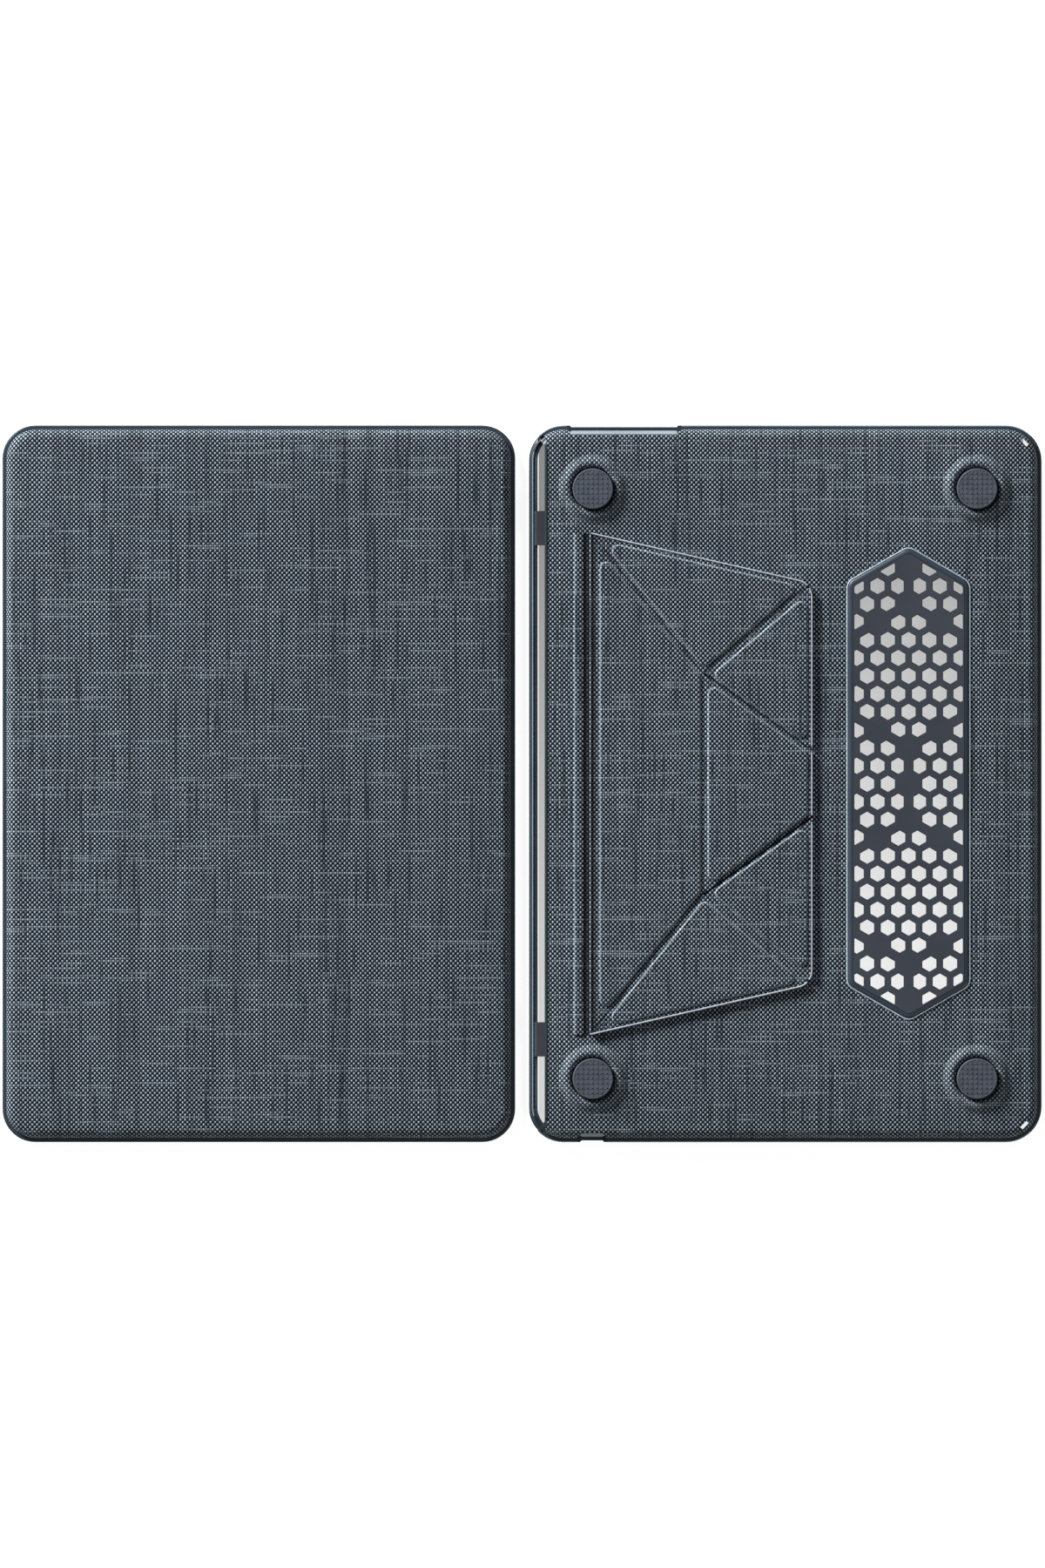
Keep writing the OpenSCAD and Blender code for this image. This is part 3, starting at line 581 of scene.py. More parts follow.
class Nodes:
    """Short way to write a node tree."""

    def __init__(self, tree):
        self.tree = tree
        tree.nodes.clear()

    def add(self, kind, inputs=(), **settings):
        """A new node with its settings and inputs, each a value or another node's output."""
        node = self.tree.nodes.new(kind)
        for key, value in settings.items():
            setattr(node, key, value)
        for key, value in dict(inputs).items():
            self.feed(node.inputs[key], value)
        return node

    def out(self, kind, *values, **settings):
        """The first output of a new node whose inputs are given in their order."""
        return self.add(kind, enumerate(values), **settings).outputs[0]

    def feed(self, socket, value):
        """Links an output to a socket, or sets the socket's own value."""
        if isinstance(value, bpy.types.NodeSocket):
            self.tree.links.new(value, socket)
        elif socket.type == "RGBA":
            socket.default_value = (*value, 1)
        else:
            socket.default_value = value

    def math(self, operation, *values):
        """One sum with up to three values."""
        return self.out("ShaderNodeMath", *values, operation=operation)

    def mix(self, factor, a, b):
        """Mixes two colours, which are inputs 6 and 7 of the node."""
        return self.add("ShaderNodeMix", {0: factor, 6: a, 7: b}, data_type="RGBA").outputs[2]

    def span(self, value, low, high, out_low=0, out_high=1):
        """Maps a value from one span to another, with its ends held."""
        return self.out("ShaderNodeMapRange", value, low, high, out_low, out_high)

    def noise(self, vector, scale, detail=2.0, roughness=0.5):
        return self.add("ShaderNodeTexNoise", {"Vector": vector, "Scale": scale, "Detail": detail,
                                               "Roughness": roughness}).outputs[0]

    def combine(self, x, y=0.0, z=0.0):
        return self.out("ShaderNodeCombineXYZ", x, y, z)

    def split(self, vector):
        return self.add("ShaderNodeSeparateXYZ", {0: vector}).outputs

    def place(self):
        """The place on the object, in metres."""
        return self.add("ShaderNodeTexCoord").outputs["Object"]

    def bump(self, height, distance):
        return self.add("ShaderNodeBump", {"Height": height, "Distance": distance}).outputs[0]

    def surface(self, colour, roughness, normal=None, specular=0.5, metallic=0.0):
        """Ends a material's tree in one shader."""
        inputs = {"Base Color": colour, "Roughness": roughness, "Specular IOR Level": specular,
                  "Metallic": metallic}
        if normal:
            inputs["Normal"] = normal
        self.end(self.add("ShaderNodeBsdfPrincipled", inputs).outputs[0])

    def end(self, shader, kind="ShaderNodeOutputMaterial"):
        """Puts a shader on the tree's output node."""
        self.add(kind, {0: shader})


def cloth_finish(n, painted_shade=0.0, stretch=0.0):
    """Plain weave of light warp over dark weft, with thick and thin threads as in linen.
    Its painted shade value darkens the cloth in a groove or crease, and stretch lightens the cloth on
    slopes as a painted highlight along the raised edges."""
    cloth = bpy.context.scene.case_cloth
    warp, weft, slub = tuple(cloth.warp), tuple(cloth.weft), tuple(cloth.slub)
    black = (0, 0, 0)
    along_x, along_y, _ = n.split(n.add("ShaderNodeUVMap", uv_map=WEAVE).outputs[0])

    # threads wander a little from their lines
    slow, wander = 0.35, 0.25
    drift_x = n.noise(n.combine(n.math("MULTIPLY", along_x, slow), along_y), scale=0.06)
    drift_y = n.noise(n.combine(along_x, n.math("MULTIPLY", along_y, slow)), scale=0.05)
    u = n.math("DIVIDE", n.math("MULTIPLY_ADD", drift_x, wander, along_x), cloth.warp_pitch / MM)
    v = n.math("DIVIDE", n.math("MULTIPLY_ADD", drift_y, wander, along_y), cloth.weft_pitch / MM)
    warp_id, weft_id = n.math("FLOOR", u), n.math("FLOOR", v)
    across_warp, across_weft = (
        n.math("SINE", n.math("MULTIPLY", n.math("FRACT", t), math.pi)) for t in (u, v))
    # 1 where the warp lies on top and -1 where the weft does
    parity = n.math("FRACT", n.math("MULTIPLY", n.math("ADD", warp_id, weft_id), 0.5))
    sign = n.math("MULTIPLY_ADD", parity, -4.0, 1.0)

    # height of each thread, which rises where it passes over the other
    def thread_height(own, other, rise, roundness=0.55):
        return n.math("MULTIPLY_ADD", n.math("MULTIPLY", sign, other), rise,
                      n.math("MULTIPLY", own, roundness))

    warp_height = thread_height(across_warp, across_weft, 0.45)
    weft_height = thread_height(across_weft, across_warp, -0.45)
    height = n.math("MAXIMUM", warp_height, weft_height)
    soft = 0.12
    warp_over = n.span(n.math("SUBTRACT", warp_height, weft_height), -soft, soft)

    # each thread has its own shade, and here and there runs thick and light or thin and dark
    def thread_colour(thread, run, seed, stretch, plain, thick_colour, thin_colour):
        apart, middle = 5.0, 0.5
        lane = n.math("MULTIPLY_ADD", thread, apart, middle)
        own = n.noise(n.combine(lane, seed, middle), scale=1.0, detail=0.0)
        slub = n.noise(n.combine(lane, n.math("MULTIPLY", run, stretch), seed), scale=1.0, detail=1.0)
        colour = n.mix(n.span(own, 0.25, 0.75, 0.7, 1.12), black, plain)
        thick, thin = n.span(slub, 0.58, 0.7), n.span(slub, 0.3, 0.42, 0.7, 0.0)
        colour = n.mix(n.math("MULTIPLY", thick, cloth.slub_share), colour, thick_colour)
        return n.mix(n.math("MULTIPLY", thin, cloth.slub_share), colour, thin_colour)

    warp_colour = thread_colour(warp_id, along_y, 11.5, 0.03, warp, slub, weft)
    weft_colour = thread_colour(weft_id, along_x, 47.5, 0.05, weft, shaded(warp, 0.44), black)
    colour = n.mix(warp_over, weft_colour, warp_colour)

    # painted shade: only the crown of each thread is drawn fully lit; its sides darken as they fall
    # away into the gaps
    crown = n.span(height, 0.36, 0.95, 0.06, 1.0)
    colour = n.mix(crown, shaded(weft, 0.5), colour)
    # painted shade mixes the cloth towards black, and stretch, a painted highlight, mixes it towards
    # the slub colour
    colour = n.mix(stretch, n.mix(painted_shade, colour, black), slub)
    fuzz, fuzz_share = n.noise(n.combine(along_x, along_y), scale=6.0, detail=3.0), 0.15
    bump = n.bump(n.math("MULTIPLY_ADD", fuzz, fuzz_share, height), cloth.relief)
    n.surface(colour, 0.65, bump, specular=0.15)


def plastic_finish(n, colour, roughness, grain=0.03 * MM):
    """Moulded plastic with a fine spark-eroded grain and slightly uneven gloss."""
    grain_height = n.noise(n.place(), scale=1800.0, roughness=0.6)
    patches = n.noise(n.place(), scale=35.0, detail=3.0)
    mottled = n.mix(n.span(patches, 0.3, 0.7), shaded(colour, 0.9), shaded(colour, 1.08))
    gloss = n.span(patches, 0.3, 0.7, roughness - 0.05, roughness + 0.06)
    n.surface(mottled, gloss, n.bump(grain_height, grain))


def rubber_finish(n, colour):
    """Matt rubber with dust-fine speckle."""
    speckle = n.noise(n.place(), scale=2600.0, roughness=0.7)
    worn = n.noise(n.place(), scale=220.0, detail=4.0)
    base = n.mix(n.span(worn, 0.35, 0.7), shaded(colour, 0.86), shaded(colour, 1.12))
    n.surface(base, n.span(speckle, 0.2, 0.8, 0.62, 0.8), n.bump(speckle, 0.04 * MM), specular=0.35)


def lining_finish(n):
    """Smooth coated lining on the inside of the stand."""
    pores = n.add("ShaderNodeTexVoronoi", {"Vector": n.place(), "Scale": 1400.0}).outputs[0]
    patches = n.noise(n.place(), scale=60.0, detail=3.0)
    colour = n.mix(n.span(patches, 0.3, 0.7), srgb(60, 66, 75), srgb(74, 81, 90))
    n.surface(colour, 0.6, n.bump(pores, 0.05 * MM), specular=0.4)


def board_finish(n):
    """Grey pressed board with short fibres."""
    fibres = n.noise(n.place(), scale=900.0, detail=5.0, roughness=0.7)
    colour = n.mix(n.span(fibres, 0.3, 0.7), srgb(120, 118, 110), srgb(156, 154, 146))
    n.surface(colour, 0.85, n.bump(fibres, 0.05 * MM))


def metal_finish(n, colour, roughness):
    """Bright metal with fine turning marks."""
    marks = n.noise(n.place(), scale=700.0, detail=3.0)
    gloss = n.span(marks, 0.3, 0.7, roughness - 0.06, roughness + 0.08)
    n.surface(n.mix(marks, shaded(colour, 0.85), colour), gloss, metallic=1.0)


def adhesive_finish(n):
    """Milky double-sided film."""
    haze = n.noise(n.place(), scale=500.0, detail=3.0)
    n.surface(n.mix(haze, srgb(196, 198, 196), srgb(222, 223, 220)), 0.45)


def finish_of(name, finish, *arguments):
    """The material of that name, made once."""
    material = bpy.data.materials.get(name)
    if not material:
        material = bpy.data.materials.new(name)
        material.use_nodes = True
        finish(Nodes(material.node_tree), *arguments)
    return material


def cloth():
    """The plain cloth of most pieces."""
    return finish_of("woven_cloth", cloth_finish)


def add_finish(mesh, name, finish, *arguments):
    """One more material on a mesh, and its number there."""
    mesh.materials.append(finish_of(name, finish, *arguments))
    return len(mesh.materials) - 1


# ---------------------------------------------------------------- shared places


def corners(node):
    """Plan corners and heights of a node: low, high, bottom, top."""
    low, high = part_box(node)
    return low.xy, high.xy, low.z, high.z


def joint_place(name):
    """The point that a joint turns about."""
    return next(Vector(j["pos_m"]) for j in frame["joints"] if j["name"] == name)


def stand_points():
    """Corners of the stand's panels at the +Y side: hinge, fold, free corner and brace corner."""
    stand = bpy.context.scene.case_stand
    hinge_x = joint_place("stand_swing").x
    fold_x = joint_place("brace_fold").x
    return (Vector((hinge_x, stand.half_length)), Vector((fold_x, stand.fold_half)),
            Vector((hinge_x + stand.depth, stand.free_half)),
            Vector((hinge_x + stand.depth, stand.brace_half)))


def low_side(point):
    """The same place at the -Y side."""
    return Vector((point.x, -point.y))


def mirrored(points):
    """A counter-clockwise outline carried over to the -Y side."""
    return [low_side(p) for p in reversed(points)]


# ---------------------------------------------------------------- pieces


class CASE_OT_shells(Operator):
    """Give both moulded shells their plastic finish"""
    bl_idname = "case.shells"
    bl_label = "Moulded shells"
    TOP, SIDE, LIP, CLIP = range(4)

    def execute(self, context):
        shell = context.scene.case_shell
        _, high, _, _ = corners("base_shell")
        slot_end = high.x - shell.plate_depth
        slot_start = slot_end - shell.slot_width
        for node, body in (("lid_shell", "lid"), ("base_shell", "base")):
            mesh = merged_copy(node, node + "_moulding", slot_start)
            obj = new_object(node + "_moulding", mesh)
            # the side finish is rougher and darker than the top, a painted shade, and the lip finish
            # is light, a painted highlight
            finishes = (("moulded_shell", shell.plastic, shell.roughness),
                        ("textured_side_painted_shade", shell.side, 0.6),
                        ("lip_and_ridge_painted_highlight", shell.lip, 0.3),
                        ("clip_plastic", shell.clip, 0.5))
            for name, colour, roughness in finishes:
                add_finish(mesh, name, plastic_finish, colour, roughness)
            for face in mesh.polygons:
                if body == "base":
                    face.material_index = self.finish_at(shell, face, slot_start, slot_end, high.y)
                else:
                    face.material_index = self.side_or_top(face)
            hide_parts(node)
            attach(obj, body)
        return {"FINISHED"}

    def side_or_top(self, face, level=0.75):
        """Textured and darker on the sides, a painted shade, and smooth on the faces that look up."""
        return self.SIDE if face.normal.z < level else self.TOP

    def finish_at(self, shell, face, slot_start, slot_end, edge_y):
        """A light glossy colour on the bevels above the windows and on the rail's ridge, a painted
        highlight; dull on the clips.
        """
        place, across = face.center, abs(face.center.y)
        steepest, flattest, ridge_lean, lip_lean = 0.3, 0.97, 0.1, 0.4
        if steepest < face.normal.z < flattest and place.z > shell.rail_height:
            on_rail = place.x < slot_start and across < edge_y - shell.ridge_end
            on_ridge = on_rail and abs(face.normal.x) > ridge_lean
            on_lip = across > edge_y - shell.lip_reach and abs(face.normal.y) > lip_lean
            if on_ridge or on_lip:
                return self.LIP
        if slot_start < place.x < slot_end and abs(across - shell.clip_middle) < shell.clip_half:
            return self.CLIP
        return self.side_or_top(face)


def laminated_cloth(name, node, tray, radius, top_z, loops=(), holes=(), rise=None):
    """Cloth bonded over a tray: flat at top_z, rolled over the edge and tucked in at the rim."""
    settings = bpy.context.scene.case_cloth
    _, cloth_high, bottom_z, _ = corners(node)
    low, high = tray
    rim = high.y - cloth_high.y
    roll = top_z - bottom_z

    def at_edge(depth):
        edge = Vector((depth, depth))
        return rounded_box(low + edge, high - edge, radius - depth)

    turns = steps_between(0, math.radians(90), 10)
    rings = [at_edge(rim + roll - roll * math.sin(turn)) for turn in turns]
    outline = rings[-1]
    flat = rim + roll

    def top(point):
        depth, _ = edge_depth(point, low, high, radius)
        reach = min(max(flat - depth, 0), roll)
        height = top_z - roll + math.sqrt(roll * roll - reach * reach)
        return height + (rise(point) if rise else 0)

    def bottom(point):
        return max(top(point) - settings.thickness, bottom_z)

    def spread(point):
        depth, out = edge_depth(point, low, high, radius)
        reach = min(max(flat - depth, 0), roll)
        return point + out * (roll * math.asin(reach / roll) - reach)

    def keep(point):
        return inside(point, outline) and not any(inside(point, hole) for hole in holes)

    mesh = relief_mesh(name, rings + list(loops) + list(holes), keep, top, bottom, spread, sharp=50)
    return new_object(name, mesh, cloth())


class CASE_OT_lid_cloth(Operator):
    """Lay the woven cloth over the lid half"""
    bl_idname = "case.lid_cloth"
    bl_label = "Lid cloth"

    def execute(self, context):
        shell = context.scene.case_shell
        low, high, _, _ = corners("lid_shell")
        tray = (low, Vector((low.x + shell.lid_depth, high.y)))
        face_z = corners("lid_fabric")[3]
        obj = laminated_cloth("lid_cloth", "lid_fabric", tray, shell.lid_corner, face_z)
        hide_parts("lid_fabric")
        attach(obj, "lid")
        return {"FINISHED"}


def cloth_level():
    """Height of the base cloth between the mounds."""
    return corners("stand_hinge_strip")[2]


def foot_places():
    """Node, centre and radius of each of the four feet."""
    for row in ("rear", "front"):
        for side in SIDES:
            node = f"foot_{row}_{side}"
            low, high, _, _ = corners(node)
            yield node, (low + high) / 2, (high.x - low.x) / 2


def window_plan(middle, width, depth, edge_y, side):
    """Plan of what a side window takes out of the cloth, slanting outwards at both ends."""
    past_edge, half = MM, width / 2
    reach = depth + past_edge
    points = [Vector((middle - half, edge_y - depth)), Vector((middle + half, edge_y - depth)),
              Vector((middle + half + reach, edge_y + past_edge)),
              Vector((middle - half - reach, edge_y + past_edge))]
    return points if side > 0 else mirrored(points)


def slit(centre, long, wide, degrees):
    """Outline of a slit."""
    direction = heading(math.radians(degrees))
    along, across = direction * long / 2, left_of(direction) * wide / 2
    return [centre - along - across, centre + along - across,
            centre + along + across, centre - along + across]


def vent_outline(depth):
    """Outline of the vent frame, moved inwards."""
    vent = bpy.context.scene.case_vent
    low, high, _, _ = corners("vent_frame")
    middle = (low + high) / 2
    half = vent.width / 2
    shoulder = vent.tip - math.tan(vent.slope) * half
    points = [Vector(p) for p in ((half, -shoulder), (half, shoulder), (0, vent.tip),
                                  (-half, shoulder), (-half, -shoulder), (0, -vent.tip))]
    smallest = MM
    radius = max(vent.corner - depth, smallest)
    return [p + middle for p in round_corners(inset(points, [depth] * 6), [radius] * 6)]


class CASE_OT_base_cloth(Operator):
    """Lay the woven cloth over the base half, with its mounds, windows and slits"""
    bl_idname = "case.base_cloth"
    bl_label = "Base cloth"

    def execute(self, context):
        foot = context.scene.case_foot
        centres = [centre for _, centre, _ in foot_places()]
        well = next(radius for _, _, radius in foot_places()) + foot.well_gap
        curl = foot.mound_curl
        crest = well + curl

        def rise(point):
            reach = min((point - centre).length for centre in centres)
            climb = (foot.mound_radius - reach) / (foot.mound_radius - crest)
            dive = min(max(crest - reach, 0), curl)
            return foot.mound_height * smooth(climb) - curl + math.sqrt(curl * curl - dive * dive)

        loops, slope_rings, curl_turns = [], 8, (20, 40, 60)
        for centre in centres:
            loops += [ring(centre, r) for r in steps_between(foot.mound_radius, crest, slope_rings)]
            loops += [ring(centre, crest - curl * math.sin(math.radians(turn))) for turn in curl_turns]
        holes = [ring(centre, well) for centre in centres] + self.openings(context)
        shell = context.scene.case_shell
        low, high, _, _ = corners("base_shell")
        tray = (Vector((high.x - shell.base_depth, low.y)), high)
        obj = laminated_cloth("base_cloth", "base_fabric", tray, shell.base_corner, cloth_level(),
                              loops, holes, rise)

        def on_mound(point):
            return min((point - centre).length for centre in centres) < foot.mound_radius

        # painted highlight: slightly lighter cloth on the mounds' slopes
        highlight_slopes(obj.data, "mound_highlight_cloth", stretch=0.05, flattest=0.985, within=on_mound)
        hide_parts("base_fabric")
        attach(obj, "base")
        return {"FINISHED"}

    def openings(self, context):
        """Plans of the vent, the rear edge, the side windows and the slits."""
        cut = context.scene.case_opening
        low, high, _, _ = corners("base_shell")
        plate_x = high.x - context.scene.case_shell.plate_depth
        hem_x = plate_x + cut.hem_width
        far_x, far_y = low.x - cut.hem_end, high.y + cut.hem_end
        rear = [Vector((hem_x, high.y - cut.hem_end)),
                Vector((hem_x - cut.kink_x, high.y - cut.kink_side)),
                Vector((hem_x - cut.end_x, high.y)),
                Vector((far_x, far_y))]
        holes = [vent_outline(context.scene.case_vent.bezel), rear + mirrored(rear)]
        windows = ((cut.port_middle, cut.port_width, 1), (cut.audio_middle, cut.audio_width, -1))
        for middle, width, side in windows:
            holes.append(window_plan(plate_x + middle, width, cut.window_depth, high.y, side))
        diagonal = 45
        for side in SIDES.values():
            front = Vector((high.x - cut.slit_inset, side * (high.y - cut.slit_inset)))
            holes.append(slit(front, cut.slit_length, cut.slit_width, -diagonal * side))
            nick = Vector((plate_x - cut.nick_back, side * (high.y - cut.nick_side)))
            holes.append(slit(nick, cut.nick_length, cut.nick_width, diagonal * side))
        return holes


class StandPanel:
    """Plan of one panel of the stand: its outline, its folds and its raised middle."""

    def __init__(self, points, gaps, raises, folds):
        self.stand = bpy.context.scene.case_stand
        self.points = points
        self.raises = raises
        self.folds = folds
        self.outline = overlap(inset(points, gaps), self.stand_outline(0))

    def stand_outline(self, depth):
        """Outline of the whole stand, moved inwards at its free edges."""
        hinge, _, corner, _ = stand_points()
        moved = inset([low_side(hinge), low_side(corner), corner, hinge], [depth, depth, depth, 0])
        smallest = MM
        radius = max(self.stand.corner - depth, smallest)
        return round_corners(moved, [0, radius, radius, 0])

    def raised(self, depth):
        """Outline of the raised middle, moved inwards by depth."""
        smallest = 0.2 * MM
        radius = max(self.stand.panel_corner - depth, smallest)
        middle = inset(self.points, [r + depth for r in self.raises])
        middle = round_corners(middle, [radius] * len(middle))
        return overlap(middle, self.stand_outline(self.stand.margin + depth))

    def free_edge(self):
        """The stretch of the outline that lies on the stand's own free edges."""
        whole = self.stand_outline(0)
        free_sides = [(whole[i - 1], b) for i, b in enumerate(whole) if i > 0]
        near = 2 * MERGE

        def is_free(point):
            for a, b in free_sides:
                along = (point - a).dot(b - a) / (b - a).length_squared
                if -near <= along <= 1 + near and (a.lerp(b, along) - point).length < near:
                    return True
            return False

        flags = [is_free(point) for point in self.outline]
        if not any(flags):
            return []
        count = len(flags)
        start = next(i for i in range(count) if flags[i] and not flags[i - 1])
        path = []
        while flags[(start + len(path)) % count]:
            path.append(self.outline[(start + len(path)) % count])
        return path


def panel_cover(name, node, panel, flange_z, lining_z):
    """Cloth cover of a panel: a raised board under the cloth, a flat flange and a dip at each fold."""
    stand = panel.stand
    top_z = corners(node)[3]
    flat, slope_rings = 0.2 * MM, 8
    depths = steps_between(-stand.slope_out, stand.slope_in, slope_rings)
    depths = [depths[0] - flat] + depths + [depths[-1] + flat]
    rings = [panel.raised(depth) for depth in depths]
    levels, digits = {}, 7
    for depth, outline in zip(depths, rings):
        level = smooth((depth + stand.slope_out) / (stand.slope_in + stand.slope_out))
        for point in outline:
            levels[point.to_tuple(digits)] = level
    inner = rings[-1]

    def top(point):
        level = levels.get(point.to_tuple(digits))
        if level is None:
            level = 1 if inside(point, inner) else 0
        dip = max(1 - smooth(abs(line_distance(point, a, b)) / stand.dip_half) for a, b in panel.folds)
        return flange_z + (top_z - flange_z) * level - stand.dip * dip

    def bottom(point):
        return max(top(point) - stand.cover, lining_z)

    def keep(point):
        return inside(point, panel.outline)

    mesh = relief_mesh(name, [panel.outline] + rings, keep, top, bottom, sharp=50)
    obj = new_object(name, mesh, cloth())
    # painted highlight: lighter cloth on the raised panel's slopes
    highlight_slopes(mesh)
    return obj


def highlight_slopes(mesh, name="slope_highlight_cloth", stretch=0.2, flattest=0.93, within=None):
    """Lighter cloth, a painted highlight, on the slopes that look up and sideways, where within(point)
    holds.
    """
    lighter, steepest = add_finish(mesh, name, cloth_finish, 0.0, stretch), 0.1
    for face in mesh.polygons:
        if steepest < face.normal.z < flattest and (within is None or within(face.center.xy)):
            face.material_index = lighter


def stand_panels():
    """Every panel of the stand: its name, its side and its plan."""
    stand = bpy.context.scene.case_stand
    hinge, fold, corner, brace = stand_points()
    low_hinge, low_fold, low_brace = map(low_side, (hinge, fold, brace))
    gap, wing_gap, open_gap = stand.gap, stand.wing_gap, stand.open_gap
    groove, wide, margin = stand.groove, stand.wide_groove, stand.margin
    yield "main", 1, StandPanel(
        [low_hinge, low_fold, fold, hinge], [gap, gap, gap, stand.hinge_gap],
        [groove, groove, groove, stand.hinge_groove],
        [(fold, hinge), (low_fold, fold), (low_hinge, low_fold)])
    yield "brace", 1, StandPanel(
        [low_fold, low_brace, brace, fold], [gap, 0, gap, gap], [groove, margin, groove, groove],
        [(low_fold, fold), (fold, brace), (low_fold, low_brace)])
    for side, sign in SIDES.items():
        yield "wing_" + side, sign, StandPanel(
            [hinge, fold, corner], [gap, wing_gap, 0], [groove, wide, margin],
            [(hinge, fold), (fold, corner)])
        yield "gusset_" + side, sign, StandPanel(
            [fold, brace, corner], [open_gap, 0, wing_gap], [groove, margin, wide],
            [(fold, corner), (fold, brace)])


def flip_mesh(obj):
    """Mirrors a piece to the -Y side and turns its faces the right way again."""
    bm = bmesh.new()
    bm.from_mesh(obj.data)
    for vert in bm.verts:
        vert.co.y = -vert.co.y
    bmesh.ops.reverse_faces(bm, faces=bm.faces)
    uv = bm.loops.layers.uv[WEAVE]
    for face in bm.faces:
        for loop in face.loops:
            loop[uv].uv = (loop[uv].uv.x, -loop[uv].uv.y)
    bm.to_mesh(obj.data)
    bm.free()


class CASE_OT_stand_covers(Operator):
    """Cover the stand's six panels in cloth and seal their cut edges"""
    bl_idname = "case.stand_covers"
    bl_label = "Stand covers"

    def execute(self, context):
        stand = context.scene.case_stand
        lining_z = corners("lining_main")[3]
        flange_z = lining_z + stand.cover
        for part, sign, panel in stand_panels():
            body = "stand_" + part if part in ("main", "brace") else part
            node = "cover_" + part
            obj = panel_cover(node + "_cloth", node, panel, flange_z, lining_z)
            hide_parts(node)
            pieces = [obj]
            path = panel.free_edge()
            if part.startswith("gusset"):
                path = self.shortened(path, stand_points()[3], 2 * stand.open_gap)
            if path:
                pieces.append(self.edge_seal("edge_seal_" + part, path, flange_z, stand.seal_width))
            for piece in pieces:
                if sign < 0:
                    flip_mesh(piece)
                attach(piece, body)
        return {"FINISHED"}

    def shortened(self, path, place, amount):
        """The path without the first stretch at its end beside place."""
        if (path[-1] - place).length < (path[0] - place).length:
            return list(reversed(self.shortened(list(reversed(path)), place, amount)))
        start, after = path[0], path[1]
        return [start + (after - start).normalized() * amount] + path[1:]

    def edge_seal(self, name, path, flange_z, width):
        """A heat-sealed bead along a cut edge, down over the edge of the lining."""
        seal = finish_of("sealed_edge", plastic_finish, bpy.context.scene.case_cloth.cut_edge, 0.5)
        low_z = corners("lining_main")[2] + 0.04 * MM
        lap, sunk = 0.06 * MM, 0.1 * MM
        shoulder, crest = flange_z + 0.2 * MM, flange_z + 0.38 * MM
        bead = [(1, flange_z - sunk), (0.95, shoulder), (0.7, crest),
                (0.35, crest), (0.05, shoulder), (0, flange_z)]
        profile = [(lap - part * width, z) for part, z in bead] + [(lap, low_z), (-sunk, low_z)]
        return new_object(name, sweep_mesh(name, path, profile, False), seal)


